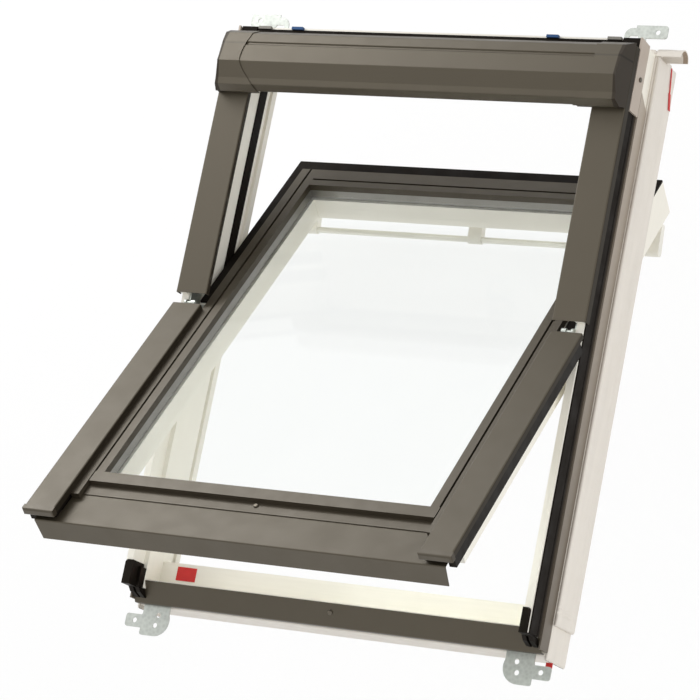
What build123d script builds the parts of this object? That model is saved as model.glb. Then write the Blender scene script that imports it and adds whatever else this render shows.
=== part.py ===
from build123d import *
import os
from math import atan, cos

# Centre-pivot roof window with its frame, modelled flat in the roof plane, sash swung open.
# X runs across the window, Y up the roof slope and Z out to the sky.
# The origin is the centre of the bracket screws, on the plane that the brackets sit on.
# A depth is measured down from the outer face of the cladding.
# Pairs are modelled on the right and mirrored to the left.

# Overall sizes
cladding_width = 780
open_angle = 35.5
frame_length = 1024
frame_depth = 150
sheet = 1.5
overrun = 5
running_clearance = 0.06
slot_clearance = 0.4

# Pivot of the sash
pivot_depth = 6
pin_radius = 3

# Jambs, head and sill
jamb_setback = 4
jamb_width = 24.5
upstand_setback = 7
upstand_width = 13
lower_upstand_depth = 12
shoulder_depth = 48
flank_depth = 57
lining_groove_margin = 24
lining_groove_width = 10
lining_groove_cut = 8
timber_round = 2
head_width = 65
head_step_depth = 30
head_step_width = 16
head_lip = 5.5
head_lip_thick = 15
sill_width = 30
sill_ledge_width = 42
sill_ledge_gap = 7
strip_collar_gap = 7
strip_drop = 22
strip_setback = 2
strip_overhang = 8
strip_wing_setback = 13
strip_lip = 10

# Fixed covers over the upper half of the jambs
upper_cover_width = 61
upper_cover_low_y = 17
upper_cover_gap = 1
upper_cover_outer_flange = 16
upper_cover_inner_flange = 10
cover_bend = 2.5

# Side cladding
side_strip_thick = 3
side_strip_height = 32
side_strip_overhang = 3
side_strip_stop = 79
side_strip_point = 26
side_gasket_thick = 2.5
side_gasket_top_depth = 16
side_gasket_foot = 12
side_gasket_high_gap = 14
hood_plate_top_depth = 21
hood_plate_gap = 1
hood_plate_length = 128
hood_plate_overhang = 5
hood_plate_slant = 3

# Hood: heights are above the cladding face, reaches run down the slope from its seat
hood_end_setback = 13
hood_wall = 1.6
hood_back_height = 2
hood_shoulder_reach = 9.5
hood_shoulder_height = 23.7
hood_crease_high_reach = 27.5
hood_crease_high_height = 32.3
hood_crease_low_reach = 34.5
hood_crease_low_height = 33.7
hood_crease_inset = 2
hood_crease_cut = 1.9
hood_ridge_reach = 66
hood_ridge_height = 40
hood_brow_reach = 94
hood_brow_height = 30
hood_nose_reach = 105
hood_nose_height = 28
hood_lip_reach = 113
hood_lip_height = 15
hood_foot_reach = 110
hood_foot_height = 6
hood_soft_bend = 3
hood_tight_bend = 1.8
hood_crease_bend = 0.6
cap_wall = 1.4
cap_end_plate = 3
cap_top_reach = 47
cap_waist_reach = 41
cap_brow_reach = 63
cap_foot_reach = 78

# Black lower corner blocks
block_tongue_length = 40
block_shell = 2
block_round = 6

# Inner jamb gaskets
jamb_gasket_thick = 2.2
jamb_gasket_top_depth = 92
jamb_gasket_bottom_gap = 12
jamb_gasket_length = 420
jamb_gasket_high_gap = 7

# Insulation collar
collar_inner_layer = 5
collar_outer_layer = 6
collar_thick = 10
collar_drop = 15
collar_high_gap = 4
collar_overhang = 15
collar_step = 43
collar_roll_inset = 3
collar_roll_radius = 18
collar_roll_wall = 2
collar_roll_length = 46
pull_tab_thick = 1
pull_tab_width = 8
pull_tab_length = 27
pull_tab_drop = 9
pull_tape_width = 3
pull_tape_length = 42
pull_tape_fall = 7
pull_tape_drop = 49
pull_tape_end_gap = 2
end_tab_length = 12
end_tab_reach = 9
end_tab_drop = 23

# Corner brackets: reaches run out from the end of the frame
bracket_thick = 2.5
bracket_lift = 4
bracket_setback = 44
bracket_disc_radius = 28
bracket_disc_reach = 33
bracket_root_half = 26
bracket_corner_round = 4
top_bracket_reach = 44
top_bracket_half = 20
top_bracket_round = 14
top_slot_length = 18
top_slot_radius = 4
top_slot_shift = 3
top_slot_reach = 26
bracket_tab_overhang = 14
bracket_tab_near_reach = 26
bracket_tab_far_reach = 49
bracket_tab_round = 5
bracket_flange_gap = 1.1
bracket_flange_half = 13
bracket_hole_radius = 4.5
tab_hole_shift = 40
tab_hole_reach = 37
inner_hole_shift = 5
inner_hole_reach = 24
outer_hole_shift = 2
outer_hole_reach = 42
bracket_screw_half_spacing = 7
bracket_screw_height = 7.5

# Screws
screw_radius = 2
screw_length = 14
screw_head_radius = 4.2
screw_head_height = 2.6
screw_head_round = 1.3
hood_plate_screw_reach = 60
hood_plate_screw_drop = 19
strip_screw_inset = 14
apron_screw_inset = 6

# Clips and spacers behind the hood, and the label
rear_part_width = 5
clip_right_share = 0.6141
clip_left_share = 0.7524
clip_length = 22
clip_height = 7
spacer_right_inset = 25.5
spacer_left_inset = 23.5
spacer_length = 25
spacer_height = 6
seal_width = 30
seal_height = 6
seal_strip_height = 4
seal_ledge = 4.5
label_inset = 50.5
label_setback = 18
label_length = 38
label_width = 24
label_thick = 0.8

# Sash timber
sash_side_gap = 4.5
sash_top_gap = 7
sash_bottom_gap = 8
sash_top_depth = 24
sash_thick = 66
stile_width = 57
top_rail_width = 79
bottom_rail_width = 34
glass_bite = 14
glass_edge_gap = 2
pane_thick = 4
glass_unit_thick = 25
spacer_bar_width = 10

# Glazing trims on the outside of the glass
trim_height = 12
trim_edge_gap = 22
trim_inner_width = 15
trim_groove = 4
trim_outer_width = 16
trim_groove_cut = 6
trim_end_inset = 33
trim_stub_reach = 21
trim_stub_gap = 0.5
bead_lap = 3
bead_setback = 13
bead_strip_reach = 11
bead_gap = 2

# Covers and apron on the lower half of the sash
sash_cover_lap = 4
sash_cover_high_y = 8
sash_cover_stop = 10
sash_cover_outer_flange = 10
end_cap_length = 12
end_cap_depth = 13
end_cap_proud = 0.8
end_cap_round = 4
rail_gap = 2
rail_high_y = 20
rail_web = 3.5
rail_skirt = 2.5
rail_skirt_depth = 31
apron_clearance = 1
apron_back_gap = 2
apron_strip_gap = 6
apron_wing_length = 29
apron_lip_height = 40.5
apron_end_setback = 15
apron_corner_inset = 4
apron_bend = 2.5

# Black gasket round the upper half of the sash
edge_gasket_side_width = 16
edge_gasket_top_width = 30
edge_gasket_height = 4
edge_gasket_low_y = 24

# Hinges
hinge_plate_thick = 3.5
hinge_plate_half_length = 38
hinge_plate_top_depth = 15
hinge_plate_bottom_gap = 1
hinge_eye_radius = 5.8
hinge_eye_width = 8
pin_overhang = 1
sash_hinge_base = 4
sash_hinge_low_y = 18
sash_hinge_high_y = 14
sash_hinge_base_width = 16
sash_arm_half = 5

# Control bar, its arms and lugs
bar_radius = 5.5
bar_reach = 33
bar_drop = 28
bar_pivot_inset = 32
bar_pivot_drop = 10
bar_pin_radius = 3
arm_hub_radius = 6.5
arm_end_radius = 8
arm_setback = 3
arm_width = 34
middle_arm_half_width = 13
lug_thick = 5
lug_base = 3
lug_base_half = 12
lug_foot_half = 8
lug_base_width = 16

# Latch
bolt_half_width = 8
bolt_height = 10
bolt_top_depth = 62
bolt_length = 40
bolt_setback = 2
bolt_room = 8
striker_thick = 2
striker_half_width = 25
striker_top_margin = 16
striker_bottom_margin = 18
striker_window_margin = 2
striker_pocket = 14

# Frame places
cover_half = cladding_width / 2
frame_half_length = frame_length / 2
jamb_outer = cover_half - jamb_setback
jamb_inner = jamb_outer - jamb_width
upstand_outer = cover_half - upstand_setback
upstand_inner = upstand_outer - upstand_width
gasket_outer = upstand_outer + side_gasket_thick
lining_groove_depth = frame_depth - lining_groove_margin
head_inner_y = frame_half_length - head_width
hood_seat_y = frame_half_length - head_step_width
head_rear_y = frame_half_length + head_lip
sill_inner_y = frame_half_length - sill_width
sill_ledge_y = sill_inner_y - sill_ledge_width
strip_inner_y = sill_inner_y + strip_setback
strip_outer_y = frame_half_length + strip_overhang
strip_wing_y = strip_inner_y + strip_wing_setback
upper_cover_inner_x = cover_half - upper_cover_width
upper_cover_high_y = hood_seat_y - upper_cover_gap
side_strip_bottom_depth = flank_depth + side_strip_height
strip_top_depth = side_strip_bottom_depth - strip_collar_gap - strip_lip - strip_drop
cladding_rise = side_strip_bottom_depth - bracket_lift
side_strip_low_y = frame_half_length + side_strip_overhang
side_strip_high_y = frame_half_length - side_strip_stop
side_gasket_low_y = strip_wing_y
side_gasket_high_y = frame_half_length - side_gasket_high_gap
hood_plate_bottom_depth = flank_depth - hood_plate_gap
hood_plate_high_y = frame_half_length + hood_plate_overhang
hood_plate_low_y = hood_plate_high_y - hood_plate_length
hood_half_width = cover_half - hood_end_setback
hood_shoulder_y = hood_seat_y - hood_shoulder_reach
hood_crease_high_y = hood_seat_y - hood_crease_high_reach
hood_crease_low_y = hood_seat_y - hood_crease_low_reach
hood_ridge_y = hood_seat_y - hood_ridge_reach
hood_brow_y = hood_seat_y - hood_brow_reach
hood_nose_y = hood_seat_y - hood_nose_reach
hood_lip_y = hood_seat_y - hood_lip_reach
hood_foot_y = hood_seat_y - hood_foot_reach
block_tongue_y = strip_wing_y - block_tongue_length
jamb_gasket_bottom_depth = lining_groove_depth - jamb_gasket_bottom_gap
jamb_gasket_high_y = head_inner_y - jamb_gasket_high_gap
jamb_gasket_low_y = jamb_gasket_high_y - jamb_gasket_length
collar_bottom_depth = frame_depth + collar_drop
collar_high_y = frame_half_length - collar_high_gap
collar_end_y = frame_half_length + collar_overhang
collar_step_y = frame_half_length - collar_step
collar_roll_y = frame_half_length - collar_roll_inset
collar_roll_depth = side_strip_bottom_depth + collar_roll_radius
pull_tape_depth = side_strip_bottom_depth + pull_tape_drop
pull_tape_high_y = collar_high_y - pull_tape_end_gap
pull_tab_depth = pull_tape_depth + pull_tape_fall
pull_tab_high_y = pull_tape_high_y - pull_tape_length
pull_tab_low_y = pull_tab_high_y - pull_tab_length
end_tab_low_y = collar_end_y + end_tab_reach
end_tab_depth = side_strip_bottom_depth + end_tab_drop
bracket_disc_x = cover_half - bracket_setback
bracket_disc_y = frame_half_length + bracket_disc_reach
top_bracket_far_y = frame_half_length + top_bracket_reach
top_slot_x = bracket_disc_x - top_slot_shift
top_slot_y = frame_half_length + top_slot_reach
bracket_tab_x = cover_half + bracket_tab_overhang
bracket_tab_inner_y = frame_half_length + bracket_tab_near_reach
bracket_tab_outer_y = frame_half_length + bracket_tab_far_reach
tab_hole_x = bracket_disc_x + tab_hole_shift
tab_hole_y = frame_half_length + tab_hole_reach
inner_hole_x = bracket_disc_x - inner_hole_shift
inner_hole_y = frame_half_length + inner_hole_reach
outer_hole_x = bracket_disc_x - outer_hole_shift
outer_hole_y = frame_half_length + outer_hole_reach
hood_plate_screw_y = hood_plate_low_y + hood_plate_screw_reach
hood_plate_screw_depth = hood_plate_top_depth + hood_plate_screw_drop
strip_screw_y = strip_inner_y + strip_screw_inset
seal_far_y = head_rear_y - seal_ledge
rear_part_y = seal_far_y + slot_clearance
clip_x_right = clip_right_share * jamb_inner
clip_x_left = -clip_left_share * jamb_inner
spacer_x_right = jamb_inner - spacer_right_inset
spacer_x_left = spacer_left_inset - jamb_inner
seal_inner_x = upstand_outer - seal_width
label_x = label_inset - jamb_inner
label_y = -sill_ledge_y - label_setback

# Sash places
sash_half_width = jamb_inner - sash_side_gap
sash_high_y = head_inner_y - sash_top_gap
sash_low_y = sill_inner_y - sash_bottom_gap
sash_depth = sash_top_depth + sash_thick
sill_ledge_depth = sash_depth + sill_ledge_gap
daylight_half_width = sash_half_width - stile_width
daylight_high_y = sash_high_y - top_rail_width
daylight_low_y = sash_low_y - bottom_rail_width
glass_bottom_depth = sash_top_depth + glass_unit_thick
glass_half_width = daylight_half_width + glass_bite
glass_high_y = daylight_high_y + glass_bite
glass_low_y = daylight_low_y + glass_bite
trim_top_depth = sash_top_depth - trim_height
trim_groove_depth = trim_top_depth + trim_groove_cut
trim_outer_x = sash_half_width - trim_edge_gap
trim_ridge_x = trim_outer_x - trim_outer_width
trim_groove_x = trim_ridge_x - trim_groove
trim_high_y = sash_high_y - trim_end_inset
trim_stub_y = sash_low_y + trim_stub_reach
bead_high_y = daylight_low_y - bead_lap
bead_low_y = sash_low_y - bead_setback
bead_strip_y = sash_low_y + bead_strip_reach
bead_strip_depth = sash_top_depth - 2 * sheet
apron_sheet_top = bead_strip_depth + sheet
apron_lip_depth = apron_sheet_top + apron_lip_height
apron_back_y = bead_low_y + apron_back_gap
apron_wide_y = strip_outer_y + apron_strip_gap
apron_front_y = apron_wide_y + apron_wing_length
apron_half_width = trim_outer_x + apron_clearance
apron_wide_half_width = cover_half - apron_end_setback
apron_screw_y = apron_back_y + apron_screw_inset
trim_stub_start_y = apron_back_y - apron_clearance
trim_stub_depth = apron_sheet_top - trim_stub_gap
rail_inner_x = trim_outer_x + rail_gap
sash_cover_inner_x = rail_inner_x - sash_cover_lap
sash_cover_inner_flange = trim_top_depth
sash_cover_low_y = apron_front_y - sash_cover_stop
rail_low_y = sash_cover_low_y
hinge_plate_bottom_depth = shoulder_depth - hinge_plate_bottom_gap
bar_pivot_y = sash_high_y - bar_pivot_inset
bar_pivot_depth = sash_depth + bar_pivot_drop
bar_y = bar_pivot_y - bar_reach
bar_depth = bar_pivot_depth + bar_drop
arm_outer_x = sash_half_width - arm_setback
bolt_bottom_depth = bolt_top_depth + bolt_height
striker_top_depth = bolt_top_depth - striker_top_margin
striker_bottom_depth = bolt_bottom_depth + striker_bottom_margin
sash_axis = Axis((0, 0, cladding_rise - pivot_depth), (-1, 0, 0))


def level(depth):
    """Height of a point that lies at a depth below the cladding face."""
    return cladding_rise - depth


def across(y):
    """Plane across the window at a place on the slope; pieces grow from it down the slope."""
    return Plane.XZ.offset(-y)


def along(x):
    """Plane along the slope at a place across the window; pieces grow from it to the right."""
    return Plane.YZ.offset(x)


def write(piece, name):
    piece.label = name
    export_step(piece, f"parts/{name}.step")


def write_pair(piece, name):
    """Write a right-hand piece and its mirror image."""
    with BuildPart() as left_piece:
        mirror(piece, about=Plane.YZ)
    write(piece, f"right_{name}")
    write(left_piece.part, f"left_{name}")


def swung(piece):
    """Move a piece from the closed sash to the open one."""
    return piece.rotate(sash_axis, open_angle)


def block(low, high):
    """Box between two opposite corners."""
    with BuildPart() as box:
        with Locations(tuple((a + b) / 2 for a, b in zip(low, high))):
            Box(*(b - a for a, b in zip(low, high)))
    return box.part


def prism(plane, points, length):
    """Straight bar with a polygon for its section."""
    with BuildPart() as bar:
        with BuildSketch(plane):
            with BuildLine():
                Polyline(*points, close=True)
            make_face()
        extrude(amount=length)
    return bar.part


def folded_sheet(plane, points, radii, wall, length):
    """Sheet bent along a line, with its thickness on the left of the line."""
    with BuildPart() as folded:
        with BuildSketch(plane):
            with BuildLine():
                FilletPolyline(*points, radius=radii)
                offset(amount=wall, side=Side.LEFT)
            make_face()
        extrude(amount=length)
    return folded.part


def rod(plane, radius, length):
    """Round bar that grows from a plane."""
    with BuildPart() as round_bar:
        with BuildSketch(plane):
            Circle(radius)
        extrude(amount=length)
    return round_bar.part


def x_plane(x, y, z):
    """Plane at a point, facing to the right."""
    return Plane(origin=(x, y, z), x_dir=(0, 1, 0), z_dir=(1, 0, 0))


def screw(plane):
    """Pan-head screw whose head rises from a plane."""
    with BuildPart() as fastener:
        add(rod(plane, screw_head_radius, screw_head_height))
        fillet(fastener.edges().sort_by(Axis(plane.origin, plane.z_dir))[-1], screw_head_round)
        add(rod(plane, screw_radius, -screw_length))
    return fastener.part


def screw_hole(plane):
    """Pilot hole for a screw, open towards its head."""
    depth = screw_length + overrun + slot_clearance
    return rod(plane.offset(overrun), screw_radius + running_clearance, -depth)


os.makedirs("parts", exist_ok=True)

# Screw places
bracket_screw_planes = [
    Plane(
        origin=(sx * (bracket_disc_x + off), sy * (frame_half_length + bracket_thick), bracket_screw_height),
        x_dir=(1, 0, 0),
        z_dir=(0, sy, 0),
    )
    for sx in (-1, 1)
    for sy in (-1, 1)
    for off in (-bracket_screw_half_spacing, bracket_screw_half_spacing)
]
strip_slope_share = strip_drop / (strip_outer_y - strip_inner_y)
strip_seat_depth = strip_top_depth + sheet / cos(atan(strip_slope_share))
strip_screw_plane = Plane(
    origin=(0, -strip_screw_y, level(strip_top_depth + strip_slope_share * (strip_screw_y - strip_inner_y))),
    x_dir=(1, 0, 0),
    z_dir=(0, -strip_slope_share, 1),
)
plate_screw_plane = x_plane(jamb_outer + side_strip_thick, hood_plate_screw_y, level(hood_plate_screw_depth))
apron_screw_plane = Plane(
    origin=(0, -apron_screw_y, level(bead_strip_depth)),
    x_dir=(1, 0, 0),
    z_dir=(0, 0, 1),
)

# Jambs: full height under the fixed cover, lower where the sash cover closes over them,
# and cut down at the lower end for the sill strip
wing_seat_depth = strip_seat_depth + strip_slope_share * strip_wing_setback
wing_cut = [
    (-strip_wing_y, level(0)),
    (-strip_wing_y, level(wing_seat_depth)),
    (-strip_outer_y, level(strip_seat_depth + strip_drop)),
    (-strip_outer_y, level(0)),
]
jamb_profile = [
    (jamb_inner, level(shoulder_depth)),
    (upstand_inner, level(shoulder_depth)),
    (upstand_inner, level(sheet)),
    (upstand_outer, level(sheet)),
    (upstand_outer, level(flank_depth)),
    (jamb_outer, level(flank_depth)),
    (jamb_outer, level(frame_depth)),
    (jamb_inner, level(frame_depth)),
]
groove_bottom = level(lining_groove_depth + lining_groove_width)
with BuildPart() as jamb:
    add(prism(across(frame_half_length), jamb_profile, 2 * frame_half_length))
    add(
        block(
            (upstand_inner - overrun, -frame_half_length - overrun, level(lower_upstand_depth)),
            (upstand_outer + overrun, upper_cover_low_y, level(0)),
        ),
        mode=Mode.SUBTRACT,
    )
    add(
        block(
            (upstand_inner - overrun, hood_seat_y, level(head_step_depth)),
            (upstand_outer + overrun, frame_half_length + overrun, level(0)),
        ),
        mode=Mode.SUBTRACT,
    )
    add(
        block(
            (jamb_inner - overrun, -frame_half_length - overrun, groove_bottom),
            (jamb_inner + lining_groove_cut, frame_half_length + overrun, level(lining_groove_depth)),
        ),
        mode=Mode.SUBTRACT,
    )
    add(screw_hole(plate_screw_plane), mode=Mode.SUBTRACT)
    add(prism(along(jamb_inner - overrun), wing_cut, jamb_width + 2 * overrun), mode=Mode.SUBTRACT)
write_pair(jamb.part, "jamb")

# Head: stepped behind the hood with a lip at the rear, and a pocket for the latch bolt
head_profile = [
    (head_inner_y, level(lower_upstand_depth)),
    (hood_seat_y, level(lower_upstand_depth)),
    (hood_seat_y, level(head_step_depth)),
    (head_rear_y, level(head_step_depth)),
    (head_rear_y, level(head_step_depth + head_lip_thick)),
    (frame_half_length, level(head_step_depth + head_lip_thick)),
    (frame_half_length, level(frame_depth)),
    (head_inner_y, level(frame_depth)),
    (head_inner_y, groove_bottom),
    (head_inner_y + lining_groove_cut, groove_bottom),
    (head_inner_y + lining_groove_cut, level(lining_groove_depth)),
    (head_inner_y, level(lining_groove_depth)),
]
window_half = bolt_half_width + striker_window_margin
window_top = level(bolt_top_depth - striker_window_margin)
window_bottom = level(bolt_bottom_depth + striker_window_margin)
with BuildPart() as head:
    add(prism(along(-jamb_inner), head_profile, 2 * jamb_inner))
    add(
        block(
            (-window_half, head_inner_y - overrun, window_bottom),
            (window_half, head_inner_y + striker_pocket, window_top),
        ),
        mode=Mode.SUBTRACT,
    )
    for place in bracket_screw_planes:
        if place.origin.Y > 0:
            add(screw_hole(place), mode=Mode.SUBTRACT)
write(head.part, "head")

# Sill: an inner ledge, an upright face and a slope under the cover strip
sill_profile = [
    (-sill_ledge_y, level(sill_ledge_depth)),
    (-sill_inner_y, level(sill_ledge_depth)),
    (-sill_inner_y, level(strip_seat_depth + strip_slope_share * (sill_inner_y - strip_inner_y))),
    (-frame_half_length, level(strip_seat_depth + strip_slope_share * (frame_half_length - strip_inner_y))),
    (-frame_half_length, level(frame_depth)),
    (-sill_ledge_y, level(frame_depth)),
    (-sill_ledge_y, groove_bottom),
    (-sill_ledge_y - lining_groove_cut, groove_bottom),
    (-sill_ledge_y - lining_groove_cut, level(lining_groove_depth)),
    (-sill_ledge_y, level(lining_groove_depth)),
]
with BuildPart() as sill:
    add(prism(along(-jamb_inner), sill_profile, 2 * jamb_inner))
    add(screw_hole(strip_screw_plane), mode=Mode.SUBTRACT)
    for place in bracket_screw_planes:
        if place.origin.Y < 0:
            add(screw_hole(place), mode=Mode.SUBTRACT)
write(sill.part, "sill")

# Cover strip on the sill, running on over the ends of the jambs
strip_line = [
    (-strip_inner_y, level(strip_top_depth)),
    (-strip_outer_y, level(strip_top_depth + strip_drop)),
    (-strip_outer_y, level(strip_top_depth + strip_drop + strip_lip)),
]
with BuildPart() as sill_cover_strip:
    add(folded_sheet(along(-jamb_outer), strip_line, [cover_bend], sheet, 2 * jamb_outer))
    for corner_x in (-jamb_outer, jamb_inner):
        add(
            block(
                (corner_x, -strip_wing_y, level(wing_seat_depth + overrun)),
                (corner_x + jamb_width, overrun - strip_inner_y, level(strip_top_depth - overrun)),
            ),
            mode=Mode.SUBTRACT,
        )
    add(screw_hole(strip_screw_plane), mode=Mode.SUBTRACT)
write(sill_cover_strip.part, "sill_cover_strip")

# Fixed covers
upper_cover_line = [
    (cover_half, level(upper_cover_outer_flange)),
    (cover_half, level(0)),
    (upper_cover_inner_x, level(0)),
    (upper_cover_inner_x, level(upper_cover_inner_flange)),
]
cover_bends = [cover_bend, cover_bend]
upper_cover_length = upper_cover_high_y - upper_cover_low_y
upper_cover_plane = across(upper_cover_high_y)
upper_cover = folded_sheet(upper_cover_plane, upper_cover_line, cover_bends, sheet, upper_cover_length)
write_pair(upper_cover, "upper_cover")

# Side strips and hood side plates
side_strip_outline = [
    (-side_strip_low_y, level(flank_depth)),
    (side_strip_high_y, level(flank_depth)),
    (side_strip_high_y - side_strip_point, level(side_strip_bottom_depth)),
    (-side_strip_low_y, level(side_strip_bottom_depth)),
]
write_pair(prism(along(jamb_outer), side_strip_outline, side_strip_thick), "side_strip")
hood_plate_outline = [
    (hood_plate_low_y, level(hood_plate_top_depth)),
    (hood_plate_high_y, level(hood_plate_top_depth)),
    (hood_plate_high_y - hood_plate_slant, level(hood_plate_bottom_depth)),
    (hood_plate_low_y, level(hood_plate_bottom_depth)),
]
hood_plate_thick = jamb_outer + side_strip_thick - gasket_outer
with BuildPart() as hood_side_plate:
    add(prism(along(gasket_outer), hood_plate_outline, hood_plate_thick))
    add(screw_hole(plate_screw_plane), mode=Mode.SUBTRACT)
write_pair(hood_side_plate.part, "hood_side_plate")

# Side gaskets
with BuildPart() as right_side_gasket:
    add(
        block(
            (upstand_outer, -side_gasket_low_y, level(flank_depth)),
            (gasket_outer, side_gasket_high_y, level(side_gasket_top_depth)),
        )
    )
    add(
        block(
            (upstand_outer, -side_gasket_low_y, level(flank_depth)),
            (jamb_outer, hood_plate_low_y, level(flank_depth - side_gasket_foot)),
        )
    )
    add(screw_hole(plate_screw_plane), mode=Mode.SUBTRACT)
with BuildPart() as side_gaskets:
    add(right_side_gasket.part)
    mirror(right_side_gasket.part, about=Plane.YZ)
write(side_gaskets.part, "side_gaskets")

# Inner jamb gaskets
jamb_gasket_outline = [
    (jamb_gasket_low_y, level(jamb_gasket_top_depth)),
    (jamb_gasket_high_y, level(jamb_gasket_top_depth)),
    (jamb_gasket_high_y, level(jamb_gasket_bottom_depth)),
    (jamb_gasket_low_y, level(jamb_gasket_bottom_depth)),
]
with BuildPart() as jamb_gaskets:
    add(prism(along(jamb_inner - jamb_gasket_thick), jamb_gasket_outline, jamb_gasket_thick))
    mirror(about=Plane.YZ)
write(jamb_gaskets.part, "jamb_gaskets")

# Hood: sheet folded over the head, with a crease along its upper slope
hood_back_y = hood_seat_y + hood_wall
hood_line = [
    (hood_back_y, level(head_step_depth)),
    (hood_back_y, level(-hood_back_height)),
    (hood_shoulder_y, level(-hood_shoulder_height)),
    (hood_crease_high_y, level(-hood_crease_high_height)),
    (hood_crease_high_y - hood_crease_inset, level(-hood_crease_high_height + hood_crease_cut)),
    (hood_crease_low_y + hood_crease_inset, level(-hood_crease_low_height + hood_crease_cut)),
    (hood_crease_low_y, level(-hood_crease_low_height)),
    (hood_ridge_y, level(-hood_ridge_height)),
    (hood_brow_y, level(-hood_brow_height)),
    (hood_nose_y, level(-hood_nose_height)),
    (hood_lip_y, level(-hood_lip_height)),
    (hood_foot_y, level(-hood_foot_height)),
]
hood_bends = (
    [hood_soft_bend] * 2
    + [hood_tight_bend, hood_crease_bend, hood_crease_bend, hood_tight_bend]
    + [hood_soft_bend] * 4
)
hood = folded_sheet(along(-hood_half_width), hood_line, hood_bends, hood_wall, 2 * hood_half_width)
write(hood, "hood")

# Hood end caps: a sleeve over the hood with a curved inner edge, and an end that flares to the covers
cap_line = [
    (hood_back_y, level(0)),
    (hood_back_y, level(-hood_back_height)),
    (hood_shoulder_y, level(-hood_shoulder_height)),
    (hood_crease_high_y, level(-hood_crease_high_height)),
    (hood_crease_low_y, level(-hood_crease_low_height)),
    (hood_ridge_y, level(-hood_ridge_height)),
    (hood_brow_y, level(-hood_brow_height)),
    (hood_nose_y, level(-hood_nose_height)),
    (hood_lip_y, level(-hood_lip_height)),
    (hood_foot_y, level(-hood_foot_height)),
    (hood_foot_y, level(0)),
]
cap_edge = [
    (hood_half_width - cap_top_reach, hood_back_y + overrun),
    (hood_half_width - cap_top_reach, hood_shoulder_y),
    (hood_half_width - cap_waist_reach, hood_ridge_y),
    (hood_half_width - cap_brow_reach, (hood_brow_y + hood_nose_y) / 2),
    (hood_half_width - cap_foot_reach, hood_lip_y - overrun),
]
with BuildPart() as cap_plan:
    with BuildSketch(Plane.XY.offset(level(0))):
        with BuildLine():
            Spline(*cap_edge)
            Polyline(
                cap_edge[-1],
                (cover_half, cap_edge[-1][1]),
                (cover_half, cap_edge[0][1]),
                cap_edge[0],
            )
        make_face()
    extrude(amount=hood_ridge_height + overrun)
cap_low_x = hood_half_width - cap_foot_reach - overrun
cap_flare = [
    (cap_low_x, level(0)),
    (cover_half, level(0)),
    (hood_half_width + cap_end_plate, level(-hood_ridge_height)),
    (hood_half_width + cap_end_plate, level(-hood_ridge_height - overrun)),
    (cap_low_x, level(-hood_ridge_height - overrun)),
]
cap_flare_plane = across(hood_back_y + overrun)
cap_flare_length = hood_back_y - hood_lip_y + 2 * overrun
with BuildPart() as hood_end_cap:
    with BuildSketch(along(cap_low_x)):
        with BuildLine():
            Polyline(*cap_line, close=True)
        make_face()
        offset(amount=cap_wall)
    extrude(amount=cover_half - cap_low_x)
    add(
        prism(
            along(cap_low_x - overrun),
            cap_line,
            cap_foot_reach + 2 * overrun,
        ),
        mode=Mode.SUBTRACT,
    )
    add(hood, mode=Mode.SUBTRACT)
    add(cap_plan.part, mode=Mode.INTERSECT)
    add(prism(cap_flare_plane, cap_flare, cap_flare_length), mode=Mode.INTERSECT)
write_pair(hood_end_cap.part, "hood_end_cap")

# Corner blocks: a black shoe over the lower end of each upstand
block_inner = upstand_inner - block_shell
block_top_depth = lower_upstand_depth - block_shell
with BuildPart() as corner_block:
    add(
        block(
            (block_inner, -strip_wing_y, level(lower_upstand_depth)),
            (upstand_outer, -block_tongue_y, level(block_top_depth)),
        )
    )
    add(
        block(
            (block_inner, -strip_wing_y, level(shoulder_depth)),
            (upstand_inner, -block_tongue_y, level(block_top_depth)),
        )
    )
    fillet(corner_block.edges().filter_by(Axis.Z).group_by(Axis.Y)[-1].sort_by(Axis.X)[-1], block_round)
    add(
        block(
            (block_inner, -strip_wing_y - block_shell, level(shoulder_depth)),
            (upstand_outer, -strip_wing_y, level(block_top_depth)),
        )
    )
write_pair(corner_block.part, "corner_block")

# Insulation collar round the frame, below the side strips
collar_top = level(side_strip_bottom_depth)
collar_bottom = level(collar_bottom_depth)
collar_mid_x = jamb_outer + collar_inner_layer
collar_outer_x = collar_mid_x + collar_outer_layer
collar_plan = [
    (jamb_outer, collar_high_y),
    (collar_outer_x, collar_high_y),
    (collar_outer_x, -collar_step_y),
    (collar_mid_x, -collar_step_y),
    (collar_mid_x, -collar_end_y),
    (jamb_outer, -collar_end_y),
]
collar_side = prism(Plane.XY.offset(collar_bottom), collar_plan, collar_top - collar_bottom)
write_pair(collar_side, "collar")
with BuildPart() as top_collar:
    add(
        block(
            (-collar_outer_x, frame_half_length, collar_bottom),
            (jamb_outer, frame_half_length + collar_thick, collar_top),
        )
    )
    with BuildSketch(along(jamb_outer)):
        with Locations((collar_roll_y, level(collar_roll_depth))):
            Circle(collar_roll_radius)
            Circle(collar_roll_radius - collar_roll_wall, mode=Mode.SUBTRACT)
        with Locations((collar_roll_y - collar_roll_radius, level(collar_roll_depth))):
            Rectangle(2 * collar_roll_radius, 2 * collar_roll_radius + 2 * overrun, mode=Mode.SUBTRACT)
    extrude(amount=collar_roll_length)
write(top_collar.part, "top_collar")
bottom_collar = block(
    (-jamb_outer, -frame_half_length - collar_thick, collar_bottom),
    (jamb_outer, -frame_half_length, collar_top),
)
write(bottom_collar, "bottom_collar")

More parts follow.
